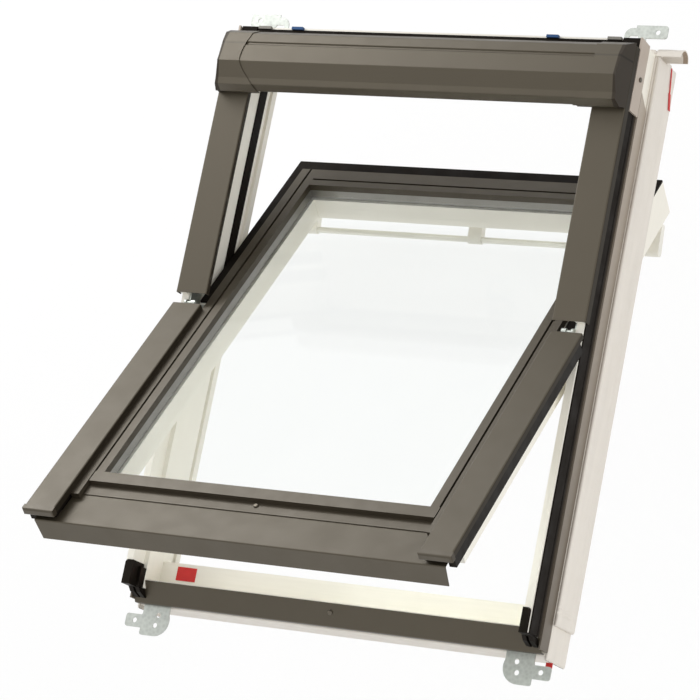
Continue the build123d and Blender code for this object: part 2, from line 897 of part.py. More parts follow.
# Red pull tabs on the right collar
tape_middle_depth = pull_tab_depth + (pull_tab_width - pull_tape_width) / 2
pull_tab_outline = [
    (pull_tape_high_y, level(pull_tape_depth)),
    (pull_tab_high_y, level(tape_middle_depth)),
    (pull_tab_high_y, level(pull_tab_depth)),
    (pull_tab_low_y, level(pull_tab_depth + pull_tab_drop)),
    (pull_tab_low_y, level(pull_tab_depth + pull_tab_drop + pull_tab_width)),
    (pull_tab_high_y, level(pull_tab_depth + pull_tab_width)),
    (pull_tab_high_y, level(tape_middle_depth + pull_tape_width)),
    (pull_tape_high_y, level(pull_tape_depth + pull_tape_width)),
]
with BuildPart() as pull_tabs:
    add(prism(along(collar_outer_x), pull_tab_outline, pull_tab_thick))
    add(
        block(
            (collar_mid_x - end_tab_length, -end_tab_low_y, level(end_tab_depth + pull_tab_thick)),
            (collar_mid_x, -collar_end_y, level(end_tab_depth)),
        )
    )
write(pull_tabs.part, "pull_tabs")

# Corner brackets: a plate with a side tab, bent up against the end of the frame.
# The lower plates are D-shaped with two holes; the upper ones are shorter and slotted.
# Both are drawn at the upper right and mirrored into place.
with BuildSketch(Plane.XY) as bracket_tab:
    with BuildLine():
        Polyline(
            (bracket_disc_x, bracket_tab_inner_y),
            (bracket_tab_x, bracket_tab_inner_y),
            (bracket_tab_x, bracket_tab_outer_y),
            (bracket_disc_x, bracket_tab_outer_y),
            close=True,
        )
    make_face()
    fillet(bracket_tab.vertices().sort_by(Axis.X)[-2:], bracket_tab_round)
flange_reach = frame_half_length + bracket_thick - strip_inner_y
flange_room = level(strip_seat_depth + strip_slope_share * flange_reach)
bracket_flange_height = flange_room - bracket_flange_gap
with BuildPart() as bracket_foot:
    add(
        block(
            (bracket_disc_x - bracket_flange_half, frame_half_length, 0),
            (bracket_disc_x + bracket_flange_half, frame_half_length + bracket_thick, bracket_flange_height),
        )
    )
    with BuildSketch(Plane.XY):
        add(bracket_tab.sketch)
    extrude(amount=bracket_thick)
bracket_far_y = bracket_disc_y + bracket_disc_radius
with BuildPart() as lower_bracket:
    with BuildSketch(Plane.XY):
        with BuildSketch() as bracket_root:
            with BuildLine():
                Polyline(
                    (bracket_disc_x, frame_half_length),
                    (bracket_disc_x + bracket_root_half, frame_half_length),
                    (bracket_disc_x + bracket_root_half, bracket_far_y),
                    (bracket_disc_x, bracket_far_y),
                    close=True,
                )
            make_face()
            fillet(bracket_root.vertices().sort_by(Axis.X)[-2:].sort_by(Axis.Y)[-1], bracket_corner_round)
        with Locations((bracket_disc_x, bracket_disc_y)):
            Circle(bracket_disc_radius)
        with Locations((bracket_disc_x, (frame_half_length + bracket_disc_y) / 2)):
            Rectangle(2 * bracket_root_half, bracket_disc_y - frame_half_length)
    extrude(amount=bracket_thick)
    add(bracket_foot.part)
    with BuildSketch(Plane.XY.offset(-overrun)):
        with Locations((tab_hole_x, tab_hole_y), (inner_hole_x, inner_hole_y), (outer_hole_x, outer_hole_y)):
            Circle(bracket_hole_radius)
    extrude(amount=bracket_thick + 2 * overrun, mode=Mode.SUBTRACT)
    for place in bracket_screw_planes:
        if place.origin.X > 0 and place.origin.Y > 0:
            add(screw_hole(place), mode=Mode.SUBTRACT)
with BuildPart() as upper_bracket:
    with BuildSketch(Plane.XY) as upper_plate:
        with Locations((bracket_disc_x, (frame_half_length + top_bracket_far_y) / 2)):
            Rectangle(2 * top_bracket_half, top_bracket_far_y - frame_half_length)
        fillet(upper_plate.vertices().group_by(Axis.X)[0].sort_by(Axis.Y)[-1], top_bracket_round)
    extrude(amount=bracket_thick)
    add(bracket_foot.part)
    with BuildSketch(Plane.XY.offset(-overrun)):
        with Locations((tab_hole_x, tab_hole_y)):
            Circle(bracket_hole_radius)
        with Locations((top_slot_x, top_slot_y)):
            SlotOverall(top_slot_length, 2 * top_slot_radius)
    extrude(amount=bracket_thick + 2 * overrun, mode=Mode.SUBTRACT)
    for place in bracket_screw_planes:
        if place.origin.X > 0 and place.origin.Y > 0:
            add(screw_hole(place), mode=Mode.SUBTRACT)
with BuildPart() as corner_brackets:
    mirror(lower_bracket.part, about=Plane.XZ)
    add(upper_bracket.part)
    mirror(about=Plane.YZ)
write(corner_brackets.part, "corner_brackets")
with BuildPart() as bracket_screws:
    for place in bracket_screw_planes:
        add(screw(place))
write(bracket_screws.part, "bracket_screws")

# Screws in the sill strip and the hood side plates
with BuildPart() as cladding_screws:
    add(screw(plate_screw_plane))
    mirror(about=Plane.YZ)
    add(screw(strip_screw_plane))
write(cladding_screws.part, "cladding_screws")

# Clips and spacers on the step behind the hood
rear_part_far_y = rear_part_y + rear_part_width
clip_top = level(head_step_depth - clip_height)
spacer_top = level(head_step_depth - spacer_height)
with BuildPart() as hood_clips:
    for place_x in (clip_x_left, clip_x_right):
        add(
            block(
                (place_x - clip_length / 2, rear_part_y, level(head_step_depth)),
                (place_x + clip_length / 2, rear_part_far_y, clip_top),
            )
        )
write(hood_clips.part, "hood_clips")
with BuildPart() as hood_spacers:
    for place_x in (spacer_x_left, spacer_x_right):
        add(
            block(
                (place_x - spacer_length / 2, rear_part_y, level(head_step_depth)),
                (place_x + spacer_length / 2, rear_part_far_y, spacer_top),
            )
        )
write(hood_spacers.part, "hood_spacers")

# Black seal behind the hood: a strip on the step of the head, higher at its ends
seal_low_y = hood_seat_y + hood_wall + slot_clearance
seal_top = level(head_step_depth - seal_height)
with BuildPart() as hood_seal:
    add(
        block(
            (-upstand_outer, seal_low_y, level(head_step_depth)),
            (upstand_outer, seal_far_y, level(head_step_depth - seal_strip_height)),
        )
    )
    for end_x in (-upstand_outer, seal_inner_x):
        add(
            block(
                (end_x, seal_low_y, level(head_step_depth)),
                (end_x + seal_width, head_rear_y, seal_top),
            )
        )
    fillet(hood_seal.edges().filter_by(Axis.X).group_by(Axis.Y)[-1].group_by(Axis.Z)[-1], timber_round)
write(hood_seal.part, "hood_seal")

# Label on the sill ledge
label_plate = block(
    (label_x - label_length / 2, label_y - label_width / 2, level(sill_ledge_depth)),
    (label_x + label_length / 2, label_y + label_width / 2, level(sill_ledge_depth - label_thick)),
)
write(label_plate, "sill_label")

# Frame hinges: a plate on the inside of the upstand, an ear and a pin
hinge_inner = upstand_inner - hinge_plate_thick
eye_outer_x = sash_half_width
eye_inner_x = eye_outer_x - hinge_eye_width
pin_end_x = eye_inner_x - pin_overhang
with BuildPart() as frame_hinge:
    add(
        block(
            (hinge_inner, -hinge_plate_half_length, level(hinge_plate_bottom_depth)),
            (upstand_inner, hinge_plate_half_length, level(hinge_plate_top_depth)),
        )
    )
    fillet(frame_hinge.edges().filter_by(Axis.X).group_by(Axis.Z)[-1], block_round)
    add(
        block(
            (hinge_inner, -hinge_eye_radius, level(hinge_plate_bottom_depth)),
            (upstand_inner, hinge_eye_radius, level(pivot_depth)),
        )
    )
    add(rod(x_plane(hinge_inner, 0, level(pivot_depth)), hinge_eye_radius, hinge_plate_thick))
    add(rod(x_plane(pin_end_x, 0, level(pivot_depth)), pin_radius, hinge_inner - pin_end_x))
write_pair(frame_hinge.part, "frame_hinge")

# Striker plate on the head
with BuildPart() as striker:
    add(
        block(
            (-striker_half_width, head_inner_y - striker_thick, level(striker_bottom_depth)),
            (striker_half_width, head_inner_y, level(striker_top_depth)),
        )
    )
    fillet(striker.edges().filter_by(Axis.Y), timber_round)
    add(
        block(
            (-window_half, head_inner_y - striker_thick - overrun, window_bottom),
            (window_half, head_inner_y + overrun, window_top),
        ),
        mode=Mode.SUBTRACT,
    )
write(striker.part, "striker")

# Sash stiles and rails, rebated for the glass
rebate_half = glass_half_width + glass_edge_gap
rebate_high_y = glass_high_y + glass_edge_gap
rebate_low_y = glass_low_y + glass_edge_gap
rebate = block(
    (-rebate_half, -rebate_low_y, level(glass_bottom_depth)),
    (rebate_half, rebate_high_y, level(sash_top_depth - overrun)),
)
with BuildPart() as sash_stile:
    add(
        block(
            (daylight_half_width, -sash_low_y, level(sash_depth)),
            (sash_half_width, sash_high_y, level(sash_top_depth)),
        )
    )
    fillet(sash_stile.edges().filter_by(Axis.Y).group_by(Axis.Z)[0], timber_round)
    add(rebate, mode=Mode.SUBTRACT)
write_pair(swung(sash_stile.part), "sash_stile")
with BuildPart() as sash_top_rail:
    add(
        block(
            (-daylight_half_width, daylight_high_y, level(sash_depth)),
            (daylight_half_width, sash_high_y, level(sash_top_depth)),
        )
    )
    fillet(sash_top_rail.edges().filter_by(Axis.X).group_by(Axis.Z)[0], timber_round)
    add(rebate, mode=Mode.SUBTRACT)
    bolt_room_half = bolt_half_width + slot_clearance
    add(
        block(
            (
                -bolt_room_half,
                sash_high_y - bolt_setback - bolt_length - bolt_room,
                level(bolt_bottom_depth + slot_clearance),
            ),
            (bolt_room_half, sash_high_y + overrun, level(bolt_top_depth - slot_clearance)),
        ),
        mode=Mode.SUBTRACT,
    )
write(swung(sash_top_rail.part), "sash_top_rail")
with BuildPart() as sash_bottom_rail:
    add(
        block(
            (-daylight_half_width, -sash_low_y, level(sash_depth)),
            (daylight_half_width, -daylight_low_y, level(sash_top_depth)),
        )
    )
    fillet(sash_bottom_rail.edges().filter_by(Axis.X).group_by(Axis.Z)[0], timber_round)
    add(rebate, mode=Mode.SUBTRACT)
    add(screw_hole(apron_screw_plane), mode=Mode.SUBTRACT)
write(swung(sash_bottom_rail.part), "sash_bottom_rail")

# Sealed double glazing
outer_pane = block(
    (-glass_half_width, -glass_low_y, level(sash_top_depth + pane_thick)),
    (glass_half_width, glass_high_y, level(sash_top_depth)),
)
write(swung(outer_pane), "outer_pane")
inner_pane = block(
    (-glass_half_width, -glass_low_y, level(glass_bottom_depth)),
    (glass_half_width, glass_high_y, level(glass_bottom_depth - pane_thick)),
)
write(swung(inner_pane), "inner_pane")
with BuildPart() as glass_spacer:
    add(
        block(
            (-glass_half_width, -glass_low_y, level(glass_bottom_depth - pane_thick)),
            (glass_half_width, glass_high_y, level(sash_top_depth + pane_thick)),
        )
    )
    add(
        block(
            (
                spacer_bar_width - glass_half_width,
                spacer_bar_width - glass_low_y,
                level(glass_bottom_depth - pane_thick + overrun),
            ),
            (
                glass_half_width - spacer_bar_width,
                glass_high_y - spacer_bar_width,
                level(sash_top_depth + pane_thick - overrun),
            ),
        ),
        mode=Mode.SUBTRACT,
    )
write(swung(glass_spacer.part), "glass_spacer")

# Glazing trims: two ridges with a groove between them
side_trim_section = [
    (daylight_half_width, level(sash_top_depth)),
    (daylight_half_width, level(trim_top_depth)),
    (trim_groove_x, level(trim_top_depth)),
    (trim_groove_x, level(trim_groove_depth)),
    (trim_ridge_x, level(trim_groove_depth)),
    (trim_ridge_x, level(trim_top_depth)),
    (trim_outer_x, level(trim_top_depth)),
    (trim_outer_x, level(sash_top_depth)),
]
with BuildPart() as glazing_trim:
    add(prism(across(trim_high_y), side_trim_section, trim_high_y + bead_high_y))
    add(
        block(
            (trim_ridge_x, -trim_stub_y, level(trim_stub_depth)),
            (trim_outer_x, -bead_high_y, level(trim_top_depth)),
        )
    )
    add(
        block(
            (trim_ridge_x, -trim_stub_start_y, level(sash_top_depth)),
            (trim_outer_x, -bead_high_y, level(trim_top_depth)),
        )
    )
write_pair(swung(glazing_trim.part), "glazing_trim")
top_groove_y = daylight_high_y + trim_inner_width
top_trim_section = [
    (daylight_high_y, level(sash_top_depth)),
    (daylight_high_y, level(trim_top_depth)),
    (top_groove_y, level(trim_top_depth)),
    (top_groove_y, level(trim_groove_depth)),
    (top_groove_y + trim_groove, level(trim_groove_depth)),
    (top_groove_y + trim_groove, level(trim_top_depth)),
    (trim_high_y, level(trim_top_depth)),
    (trim_high_y, level(sash_top_depth)),
]
top_glazing_trim = prism(along(-daylight_half_width), top_trim_section, 2 * daylight_half_width)
write(swung(top_glazing_trim), "top_glazing_trim")
bead_half = trim_ridge_x - bead_gap
bead_section = [
    (-bead_high_y, level(sash_top_depth)),
    (-bead_high_y, level(trim_top_depth)),
    (-bead_low_y, level(trim_top_depth)),
    (-bead_low_y, level(bead_strip_depth)),
    (-bead_strip_y, level(bead_strip_depth)),
    (-bead_strip_y, level(bead_strip_depth + sheet)),
    (-bead_low_y, level(bead_strip_depth + sheet)),
    (-bead_low_y, level(sash_top_depth)),
]
with BuildPart() as bottom_glazing_bead:
    add(prism(along(-bead_half), bead_section, 2 * bead_half))
    add(screw_hole(apron_screw_plane), mode=Mode.SUBTRACT)
write(swung(bottom_glazing_bead.part), "bottom_glazing_bead")

# Sash covers with their end caps and the black rails that carry them
sash_cover_line = [
    (cover_half, level(sash_cover_outer_flange)),
    (cover_half, level(0)),
    (sash_cover_inner_x, level(0)),
    (sash_cover_inner_x, level(sash_cover_inner_flange)),
]
sash_cover_length = sash_cover_low_y - sash_cover_high_y
sash_cover = folded_sheet(across(-sash_cover_high_y), sash_cover_line, cover_bends, sheet, sash_cover_length)
write_pair(swung(sash_cover), "sash_cover")
with BuildPart() as cover_end_cap:
    add(
        block(
            (
                sash_cover_inner_x - end_cap_proud,
                -sash_cover_low_y - end_cap_length,
                level(end_cap_depth),
            ),
            (cover_half + end_cap_proud, -sash_cover_low_y, level(-end_cap_proud)),
        )
    )
    fillet(cover_end_cap.edges().group_by(Axis.Y)[0], end_cap_round)
write_pair(swung(cover_end_cap.part), "cover_end_cap")
rail_section = [
    (rail_inner_x, level(sash_top_depth)),
    (rail_inner_x, level(sheet)),
    (cover_half - sheet, level(sheet)),
    (cover_half - sheet, level(rail_skirt_depth)),
    (cover_half - sheet - rail_skirt, level(rail_skirt_depth)),
    (cover_half - sheet - rail_skirt, level(sheet + rail_web)),
    (sash_half_width, level(sheet + rail_web)),
    (sash_half_width, level(sash_top_depth)),
]
with BuildPart() as cover_rail:
    add(prism(across(-rail_high_y), rail_section, rail_low_y - rail_high_y))
    add(
        block(
            (rail_inner_x - overrun, -rail_low_y - overrun, level(sash_top_depth + overrun)),
            (sash_half_width, -trim_stub_start_y, level(trim_stub_depth)),
        ),
        mode=Mode.SUBTRACT,
    )
    chamfer(cover_rail.edges().filter_by(Axis.Y).group_by(Axis.Z)[-1].sort_by(Axis.X)[-1], sheet)
    add(
        block(
            (apron_wide_half_width + apron_clearance, -rail_low_y, level(rail_skirt_depth)),
            (cover_half - sheet - rail_skirt, rail_skirt - rail_low_y, level(sheet + rail_web)),
        )
    )
write_pair(swung(cover_rail.part), "cover_rail")

# Apron below the glass: wider past the corner blocks, with a deep front lip
apron_line = [
    (-apron_back_y, level(apron_sheet_top)),
    (-apron_front_y, level(apron_sheet_top)),
    (-apron_front_y, level(apron_lip_depth)),
]
with BuildPart() as apron:
    apron_plane = along(-apron_wide_half_width)
    add(folded_sheet(apron_plane, apron_line, [apron_bend], sheet, 2 * apron_wide_half_width))
    for side in (-1, 1):
        with BuildSketch(Plane.XY.offset(level(apron_sheet_top - overrun))):
            with BuildLine():
                Polyline(
                    (side * apron_half_width, -apron_back_y + overrun),
                    (side * apron_half_width, -apron_wide_y),
                    (side * (apron_wide_half_width + overrun), -apron_wide_y),
                    (side * (apron_wide_half_width + overrun), -apron_back_y + overrun),
                    close=True,
                )
            make_face()
        extrude(amount=-sheet - 2 * overrun, mode=Mode.SUBTRACT)
        with BuildSketch(across(-apron_front_y + overrun)):
            with BuildLine():
                Polyline(
                    (side * apron_wide_half_width, level(sash_top_depth)),
                    (side * (apron_wide_half_width - apron_corner_inset), level(apron_lip_depth)),
                    (side * (apron_wide_half_width - apron_corner_inset), level(apron_lip_depth + overrun)),
                    (side * (apron_wide_half_width + overrun), level(apron_lip_depth + overrun)),
                    (side * (apron_wide_half_width + overrun), level(sash_top_depth)),
                    close=True,
                )
            make_face()
        extrude(amount=2 * overrun, mode=Mode.SUBTRACT)
    add(screw_hole(apron_screw_plane), mode=Mode.SUBTRACT)
write(swung(apron.part), "apron")
write(swung(screw(apron_screw_plane)), "apron_screw")

# Black gasket round the upper half of the sash
gasket_inner_x = sash_half_width - edge_gasket_side_width
gasket_inner_y = sash_high_y - edge_gasket_top_width
gasket_top = level(sash_top_depth - edge_gasket_height)
with BuildPart() as sash_edge_gasket:
    add(
        block(
            (-sash_half_width, edge_gasket_low_y, level(sash_top_depth)),
            (sash_half_width, sash_high_y, gasket_top),
        )
    )
    add(
        block(
            (-gasket_inner_x, edge_gasket_low_y - overrun, level(sash_top_depth + overrun)),
            (gasket_inner_x, gasket_inner_y, gasket_top + overrun),
        ),
        mode=Mode.SUBTRACT,
    )
write(swung(sash_edge_gasket.part), "sash_edge_gasket")

# Sash hinges: an eye on the pin, an arm and a base plate on the stile
with BuildPart() as sash_hinge:
    add(
        block(
            (sash_half_width - sash_hinge_base_width, -sash_hinge_low_y, level(sash_top_depth)),
            (sash_half_width, sash_hinge_high_y, level(sash_top_depth - sash_hinge_base)),
        )
    )
    add(
        block(
            (eye_inner_x, -sash_arm_half, level(sash_top_depth)),
            (eye_outer_x, sash_arm_half, level(pivot_depth)),
        )
    )
    add(rod(x_plane(eye_inner_x, 0, level(pivot_depth)), hinge_eye_radius, hinge_eye_width))
    add(
        rod(
            x_plane(eye_inner_x - overrun, 0, level(pivot_depth)),
            pin_radius + running_clearance,
            hinge_eye_width + 2 * overrun,
        ),
        mode=Mode.SUBTRACT,
    )
write_pair(swung(sash_hinge.part), "sash_hinge")

# Control bar with three arms, hung on pins from lugs under the top rail
arm_places = [
    (-arm_outer_x, arm_width - arm_outer_x),
    (-middle_arm_half_width, middle_arm_half_width),
    (arm_outer_x - arm_width, arm_outer_x),
]
with BuildPart() as bar_arms:
    for arm_low_x, arm_high_x in arm_places:
        with BuildSketch(along(arm_low_x)):
            with Locations((bar_pivot_y, level(bar_pivot_depth))):
                Circle(arm_hub_radius)
            with Locations((bar_y, level(bar_depth))):
                Circle(arm_end_radius)
            make_hull()
            with Locations((bar_pivot_y, level(bar_pivot_depth))):
                Circle(bar_pin_radius + running_clearance, mode=Mode.SUBTRACT)
            with Locations((bar_y, level(bar_depth))):
                Circle(bar_radius + running_clearance, mode=Mode.SUBTRACT)
        extrude(amount=arm_high_x - arm_low_x)
write(swung(bar_arms.part), "bar_arms")
control_bar = rod(x_plane(-arm_outer_x, bar_y, level(bar_depth)), bar_radius, 2 * arm_outer_x)
write(swung(control_bar), "control_bar")
lug_ends = [
    (arm_places[0][1] + slot_clearance, 1, arm_places[0][0]),
    (arm_places[1][1] + slot_clearance, 1, arm_places[1][0]),
    (arm_places[2][0] - slot_clearance, -1, arm_places[2][1]),
]
with BuildPart() as bar_lugs:
    for ear_x, side, pin_x in lug_ends:
        ear_low_x = min(ear_x, ear_x + side * lug_thick)
        base_low_x = min(ear_x, ear_x + side * lug_base_width)
        with BuildSketch(along(ear_low_x)):
            with Locations((bar_pivot_y, level(bar_pivot_depth))):
                Circle(arm_hub_radius)
            with BuildLine():
                Polyline(
                    (bar_pivot_y - lug_foot_half, level(sash_depth)),
                    (bar_pivot_y + lug_foot_half, level(sash_depth)),
                    (bar_pivot_y + arm_hub_radius, level(bar_pivot_depth)),
                    (bar_pivot_y - arm_hub_radius, level(bar_pivot_depth)),
                    close=True,
                )
            make_face()
        extrude(amount=lug_thick)
        add(
            block(
                (base_low_x, bar_pivot_y - lug_base_half, level(sash_depth + lug_base)),
                (base_low_x + lug_base_width, bar_pivot_y + lug_base_half, level(sash_depth)),
            )
        )
        pin_low_x = min(ear_x, pin_x)
        add(rod(x_plane(pin_low_x, bar_pivot_y, level(bar_pivot_depth)), bar_pin_radius, abs(ear_x - pin_x)))
write(swung(bar_lugs.part), "bar_lugs")

# Latch bolt in the top rail
latch_bolt = block(
    (-bolt_half_width, sash_high_y - bolt_setback - bolt_length, level(bolt_bottom_depth)),
    (bolt_half_width, sash_high_y - bolt_setback, level(bolt_top_depth)),
)
write(swung(latch_bolt), "latch_bolt")
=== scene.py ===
import math

import bmesh
import bpy
from mathutils import Matrix, Vector, noise


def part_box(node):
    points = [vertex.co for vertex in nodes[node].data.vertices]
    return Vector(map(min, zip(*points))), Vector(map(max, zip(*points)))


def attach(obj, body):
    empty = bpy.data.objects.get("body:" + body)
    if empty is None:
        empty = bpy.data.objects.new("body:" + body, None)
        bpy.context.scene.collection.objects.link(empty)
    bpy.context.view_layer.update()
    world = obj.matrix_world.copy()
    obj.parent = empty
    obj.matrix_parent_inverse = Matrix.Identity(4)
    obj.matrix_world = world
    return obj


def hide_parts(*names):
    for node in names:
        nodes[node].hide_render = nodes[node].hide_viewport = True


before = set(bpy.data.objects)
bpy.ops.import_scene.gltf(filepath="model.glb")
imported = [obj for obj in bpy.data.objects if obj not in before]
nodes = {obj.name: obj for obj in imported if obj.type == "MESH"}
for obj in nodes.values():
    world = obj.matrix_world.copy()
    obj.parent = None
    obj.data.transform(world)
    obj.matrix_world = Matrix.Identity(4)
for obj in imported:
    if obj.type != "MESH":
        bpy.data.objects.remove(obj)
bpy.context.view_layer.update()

scene = bpy.context.scene
MM = 0.001
SIDES = (("right", 1.0), ("left", -1.0))

# Levels above the brackets' seat, in millimetres, and how far the sash stands open at rest
cladding_level = 85.0
pivot_level = 79.0
rest_opening = math.radians(35.5)

# Camera
camera_place = (2.6219, -1.2283, 4.8725)
camera_right = (0.87770, 0.19161, -0.43925)
camera_up = (-0.07237, 0.95907, 0.27375)
camera_back = (0.47372, -0.20848, 0.85564)
camera_lens = 171.37
sensor_width = 36.0
view_limit = 100.0

cam_data = bpy.data.cameras.new("camera")
cam_data.sensor_width = sensor_width
cam_data.lens = camera_lens
cam_data.clip_end = view_limit
cam = bpy.data.objects.new("camera", cam_data)
scene.collection.objects.link(cam)
turn = Matrix((camera_right, camera_up, camera_back)).transposed().to_4x4()
cam.matrix_world = Matrix.Translation(Vector(camera_place)) @ turn
scene.camera = cam
scene.view_settings.view_transform = "Standard"


# Shader helpers
def lin(r, g, b):
    """Linear colour of an 8-bit display colour."""
    out = []
    for c in (r, g, b):
        c = c / 255.0
        out.append(c / 12.92 if c <= 0.04045 else ((c + 0.055) / 1.055) ** 2.4)
    return (*out, 1.0)


def shade(colour, factor):
    """Colour made darker or lighter by a factor."""
    return (colour[0] * factor, colour[1] * factor, colour[2] * factor, 1.0)


def new_material(name):
    """New material with its node tree and its shader."""
    mat = bpy.data.materials.new(name)
    mat.use_nodes = True
    tree = mat.node_tree
    return mat, tree, tree.nodes["Principled BSDF"]


def node(tree, kind, **values):
    """New shader node with its settings."""
    made = tree.nodes.new(kind)
    for key, value in values.items():
        setattr(made, key, value)
    return made


def coords(tree, scale=(1, 1, 1)):
    """Object coordinates, stretched along the axes."""
    tex = node(tree, "ShaderNodeTexCoord")
    mapping = node(tree, "ShaderNodeMapping")
    mapping.inputs["Scale"].default_value = scale
    tree.links.new(tex.outputs["Object"], mapping.inputs["Vector"])
    return mapping.outputs["Vector"]


def noise_out(tree, vector, scale, detail, rough=0.55):
    """Noise over a vector, from 0 to 1."""
    tex = node(tree, "ShaderNodeTexNoise")
    tex.inputs["Scale"].default_value = scale
    tex.inputs["Detail"].default_value = detail
    tex.inputs["Roughness"].default_value = rough
    tree.links.new(vector, tex.inputs["Vector"])
    return tex.outputs["Fac"]


def ramp(tree, fac, stops):
    """Colours along a value, by place and tone."""
    made = node(tree, "ShaderNodeValToRGB")
    elements = made.color_ramp.elements
    while len(elements) < len(stops):
        elements.new(0.5)
    for element, (place, colour) in zip(elements, stops):
        element.position = place
        element.color = colour
    tree.links.new(fac, made.inputs["Fac"])
    return made.outputs["Color"]


def drifting(tree, fac, dark, pale):
    """Colour that drifts from one tone to another over the middle of a noise."""
    return ramp(tree, fac, [(0.3, dark), (0.7, pale)])


def map_range(tree, value, from_range, to_range):
    """Value carried over from one range to another."""
    made = node(tree, "ShaderNodeMapRange")
    made.inputs["From Min"].default_value, made.inputs["From Max"].default_value = from_range
    made.inputs["To Min"].default_value, made.inputs["To Max"].default_value = to_range
    tree.links.new(value, made.inputs["Value"])
    return made.outputs["Result"]


def set_roughness(tree, shader, fac, rough):
    """Uneven gloss: the roughness follows a noise between two values."""
    tree.links.new(map_range(tree, fac, (0.3, 0.7), rough), shader.inputs["Roughness"])


def bump(tree, shader, height, strength, distance):
    """Fine relief of a shader from a height."""
    made = node(tree, "ShaderNodeBump")
    made.inputs["Strength"].default_value = strength
    made.inputs["Distance"].default_value = distance
    tree.links.new(height, made.inputs["Height"])
    tree.links.new(made.outputs["Normal"], shader.inputs["Normal"])


def mix_colours(tree, first, second, factor, blend="MIX"):
    """Mix of two colours by a number or by a socket."""
    made = node(tree, "ShaderNodeMix", data_type="RGBA", blend_type=blend)
    if isinstance(factor, float):
        made.inputs["Factor"].default_value = factor
    else:
        tree.links.new(factor, made.inputs["Factor"])
    colour_a, colour_b, colour_out = made.inputs[6], made.inputs[7], made.outputs[2]
    tree.links.new(first, colour_a)
    tree.links.new(second, colour_b)
    return colour_out


def size_of(tree, value):
    """Value without its sign."""
    made = node(tree, "ShaderNodeMath", operation="ABSOLUTE")
    tree.links.new(value, made.inputs[0])
    return made.outputs[0]


def along_axis(tree, axis, low, high, absolute=False):
    """Place between two points of an axis, from 0 to 1."""
    tex = node(tree, "ShaderNodeTexCoord")
    split = node(tree, "ShaderNodeSeparateXYZ")
    tree.links.new(tex.outputs["Object"], split.inputs[0])
    value = split.outputs[axis]
    if absolute:
        value = size_of(tree, value)
    return map_range(tree, value, (low, high), (0.0, 1.0))


def seen_directly(tree):
    """One for what the camera, metal and glass see, zero for the light that falls on the rest."""
    path = node(tree, "ShaderNodeLightPath")
    value = path.outputs["Is Camera Ray"]
    for other in ("Is Glossy Ray", "Is Transmission Ray"):
        most = node(tree, "ShaderNodeMath", operation="MAXIMUM")
        tree.links.new(value, most.inputs[0])
        tree.links.new(path.outputs[other], most.inputs[1])
        value = most.outputs[0]
    return value


# Kinds of material
plain_tint = (1.0, 1.0, 1.0, 1.0)
lacquer_tint = (1.0, 0.9, 0.74, 1.0)
rubber_tint = (1.0, 0.85, 0.7, 1.0)
lacquer_gloss = 0.82
rubber_gloss = 0.1


def coated(name, colour, rough, coarse, fine, vary, grain, metallic=0.0, gloss=0.5, tint=plain_tint):
    """Lacquered or moulded surface: soft colour drift, fine grain and uneven gloss."""
    mat, tree, shader = new_material(name)
    vector = coords(tree)
    drift = noise_out(tree, vector, scale=coarse, detail=3.0)
    colours = drifting(tree, drift, shade(colour, 1.0 - vary), shade(colour, 1.0 + vary))
    tree.links.new(colours, shader.inputs["Base Color"])
    set_roughness(tree, shader, noise_out(tree, vector, scale=coarse * 4.0, detail=4.0), rough)
    shader.inputs["Metallic"].default_value = metallic
    shader.inputs["Specular IOR Level"].default_value = gloss
    shader.inputs["Specular Tint"].default_value = tint
    bump(tree, shader, noise_out(tree, vector, scale=fine, detail=2.0), strength=grain, distance=0.2 * MM)
    return mat


def grained(name, colour, along):
    """White lacquer over timber: a faint grain drawn along the piece."""
    mat, tree, shader = new_material(name)
    stretch = [60.0, 60.0, 60.0]
    stretch[along] = 2.5
    grain = noise_out(tree, coords(tree, stretch), scale=3.0, detail=6.0, rough=0.6)
    soft = noise_out(tree, coords(tree), scale=4.0, detail=2.0)
    fibres = ramp(tree, grain, [(0.25, shade(colour, 0.955)), (0.75, shade(colour, 1.0))])
    cloud = drifting(tree, soft, (0.965, 0.96, 0.95, 1), (1, 1, 1, 1))
    tree.links.new(mix_colours(tree, fibres, cloud, 1.0, "MULTIPLY"), shader.inputs["Base Color"])
    set_roughness(tree, shader, soft, (0.34, 0.44))
    bump(tree, shader, grain, strength=0.12, distance=0.6 * MM)
    return mat


def rubber(name, colour):
    """Matt rubber with a little dust on it."""
    mat, tree, shader = new_material(name)
    shader.inputs["Specular IOR Level"].default_value = rubber_gloss
    shader.inputs["Specular Tint"].default_value = rubber_tint
    vector = coords(tree)
    dust = noise_out(tree, vector, scale=30.0, detail=5.0)
    colours = ramp(tree, dust, [(0.35, colour), (0.75, shade(colour, 1.7))])
    tree.links.new(colours, shader.inputs["Base Color"])
    set_roughness(tree, shader, dust, (0.55, 0.75))
    bump(tree, shader, noise_out(tree, vector, scale=700.0, detail=2.0), strength=0.2, distance=0.3 * MM)
    return mat


def seal_with_painted_shadow(name, dark, pale, low, high):
    """Side gasket: black lip, brown foot; the black above the foot is partly the rubber's own colour and
    partly painted shadow.
    """
    mat, tree, shader = new_material(name)
    place = along_axis(tree, "Z", low, high)
    # Part black rubber, part painted shadow: the tone turns from brown to black a little way up from the
    # foot.
    colours = ramp(tree, place, [(0.0, pale), (0.06, pale), (0.2, dark), (1.0, dark)])
    tree.links.new(colours, shader.inputs["Base Color"])
    vector = coords(tree)
    set_roughness(tree, shader, noise_out(tree, vector, scale=30.0, detail=5.0), (0.5, 0.7))
    shader.inputs["Specular IOR Level"].default_value = rubber_gloss
    shader.inputs["Specular Tint"].default_value = rubber_tint
    bump(tree, shader, noise_out(tree, vector, scale=700.0, detail=2.0), strength=0.15, distance=0.3 * MM)
    return mat


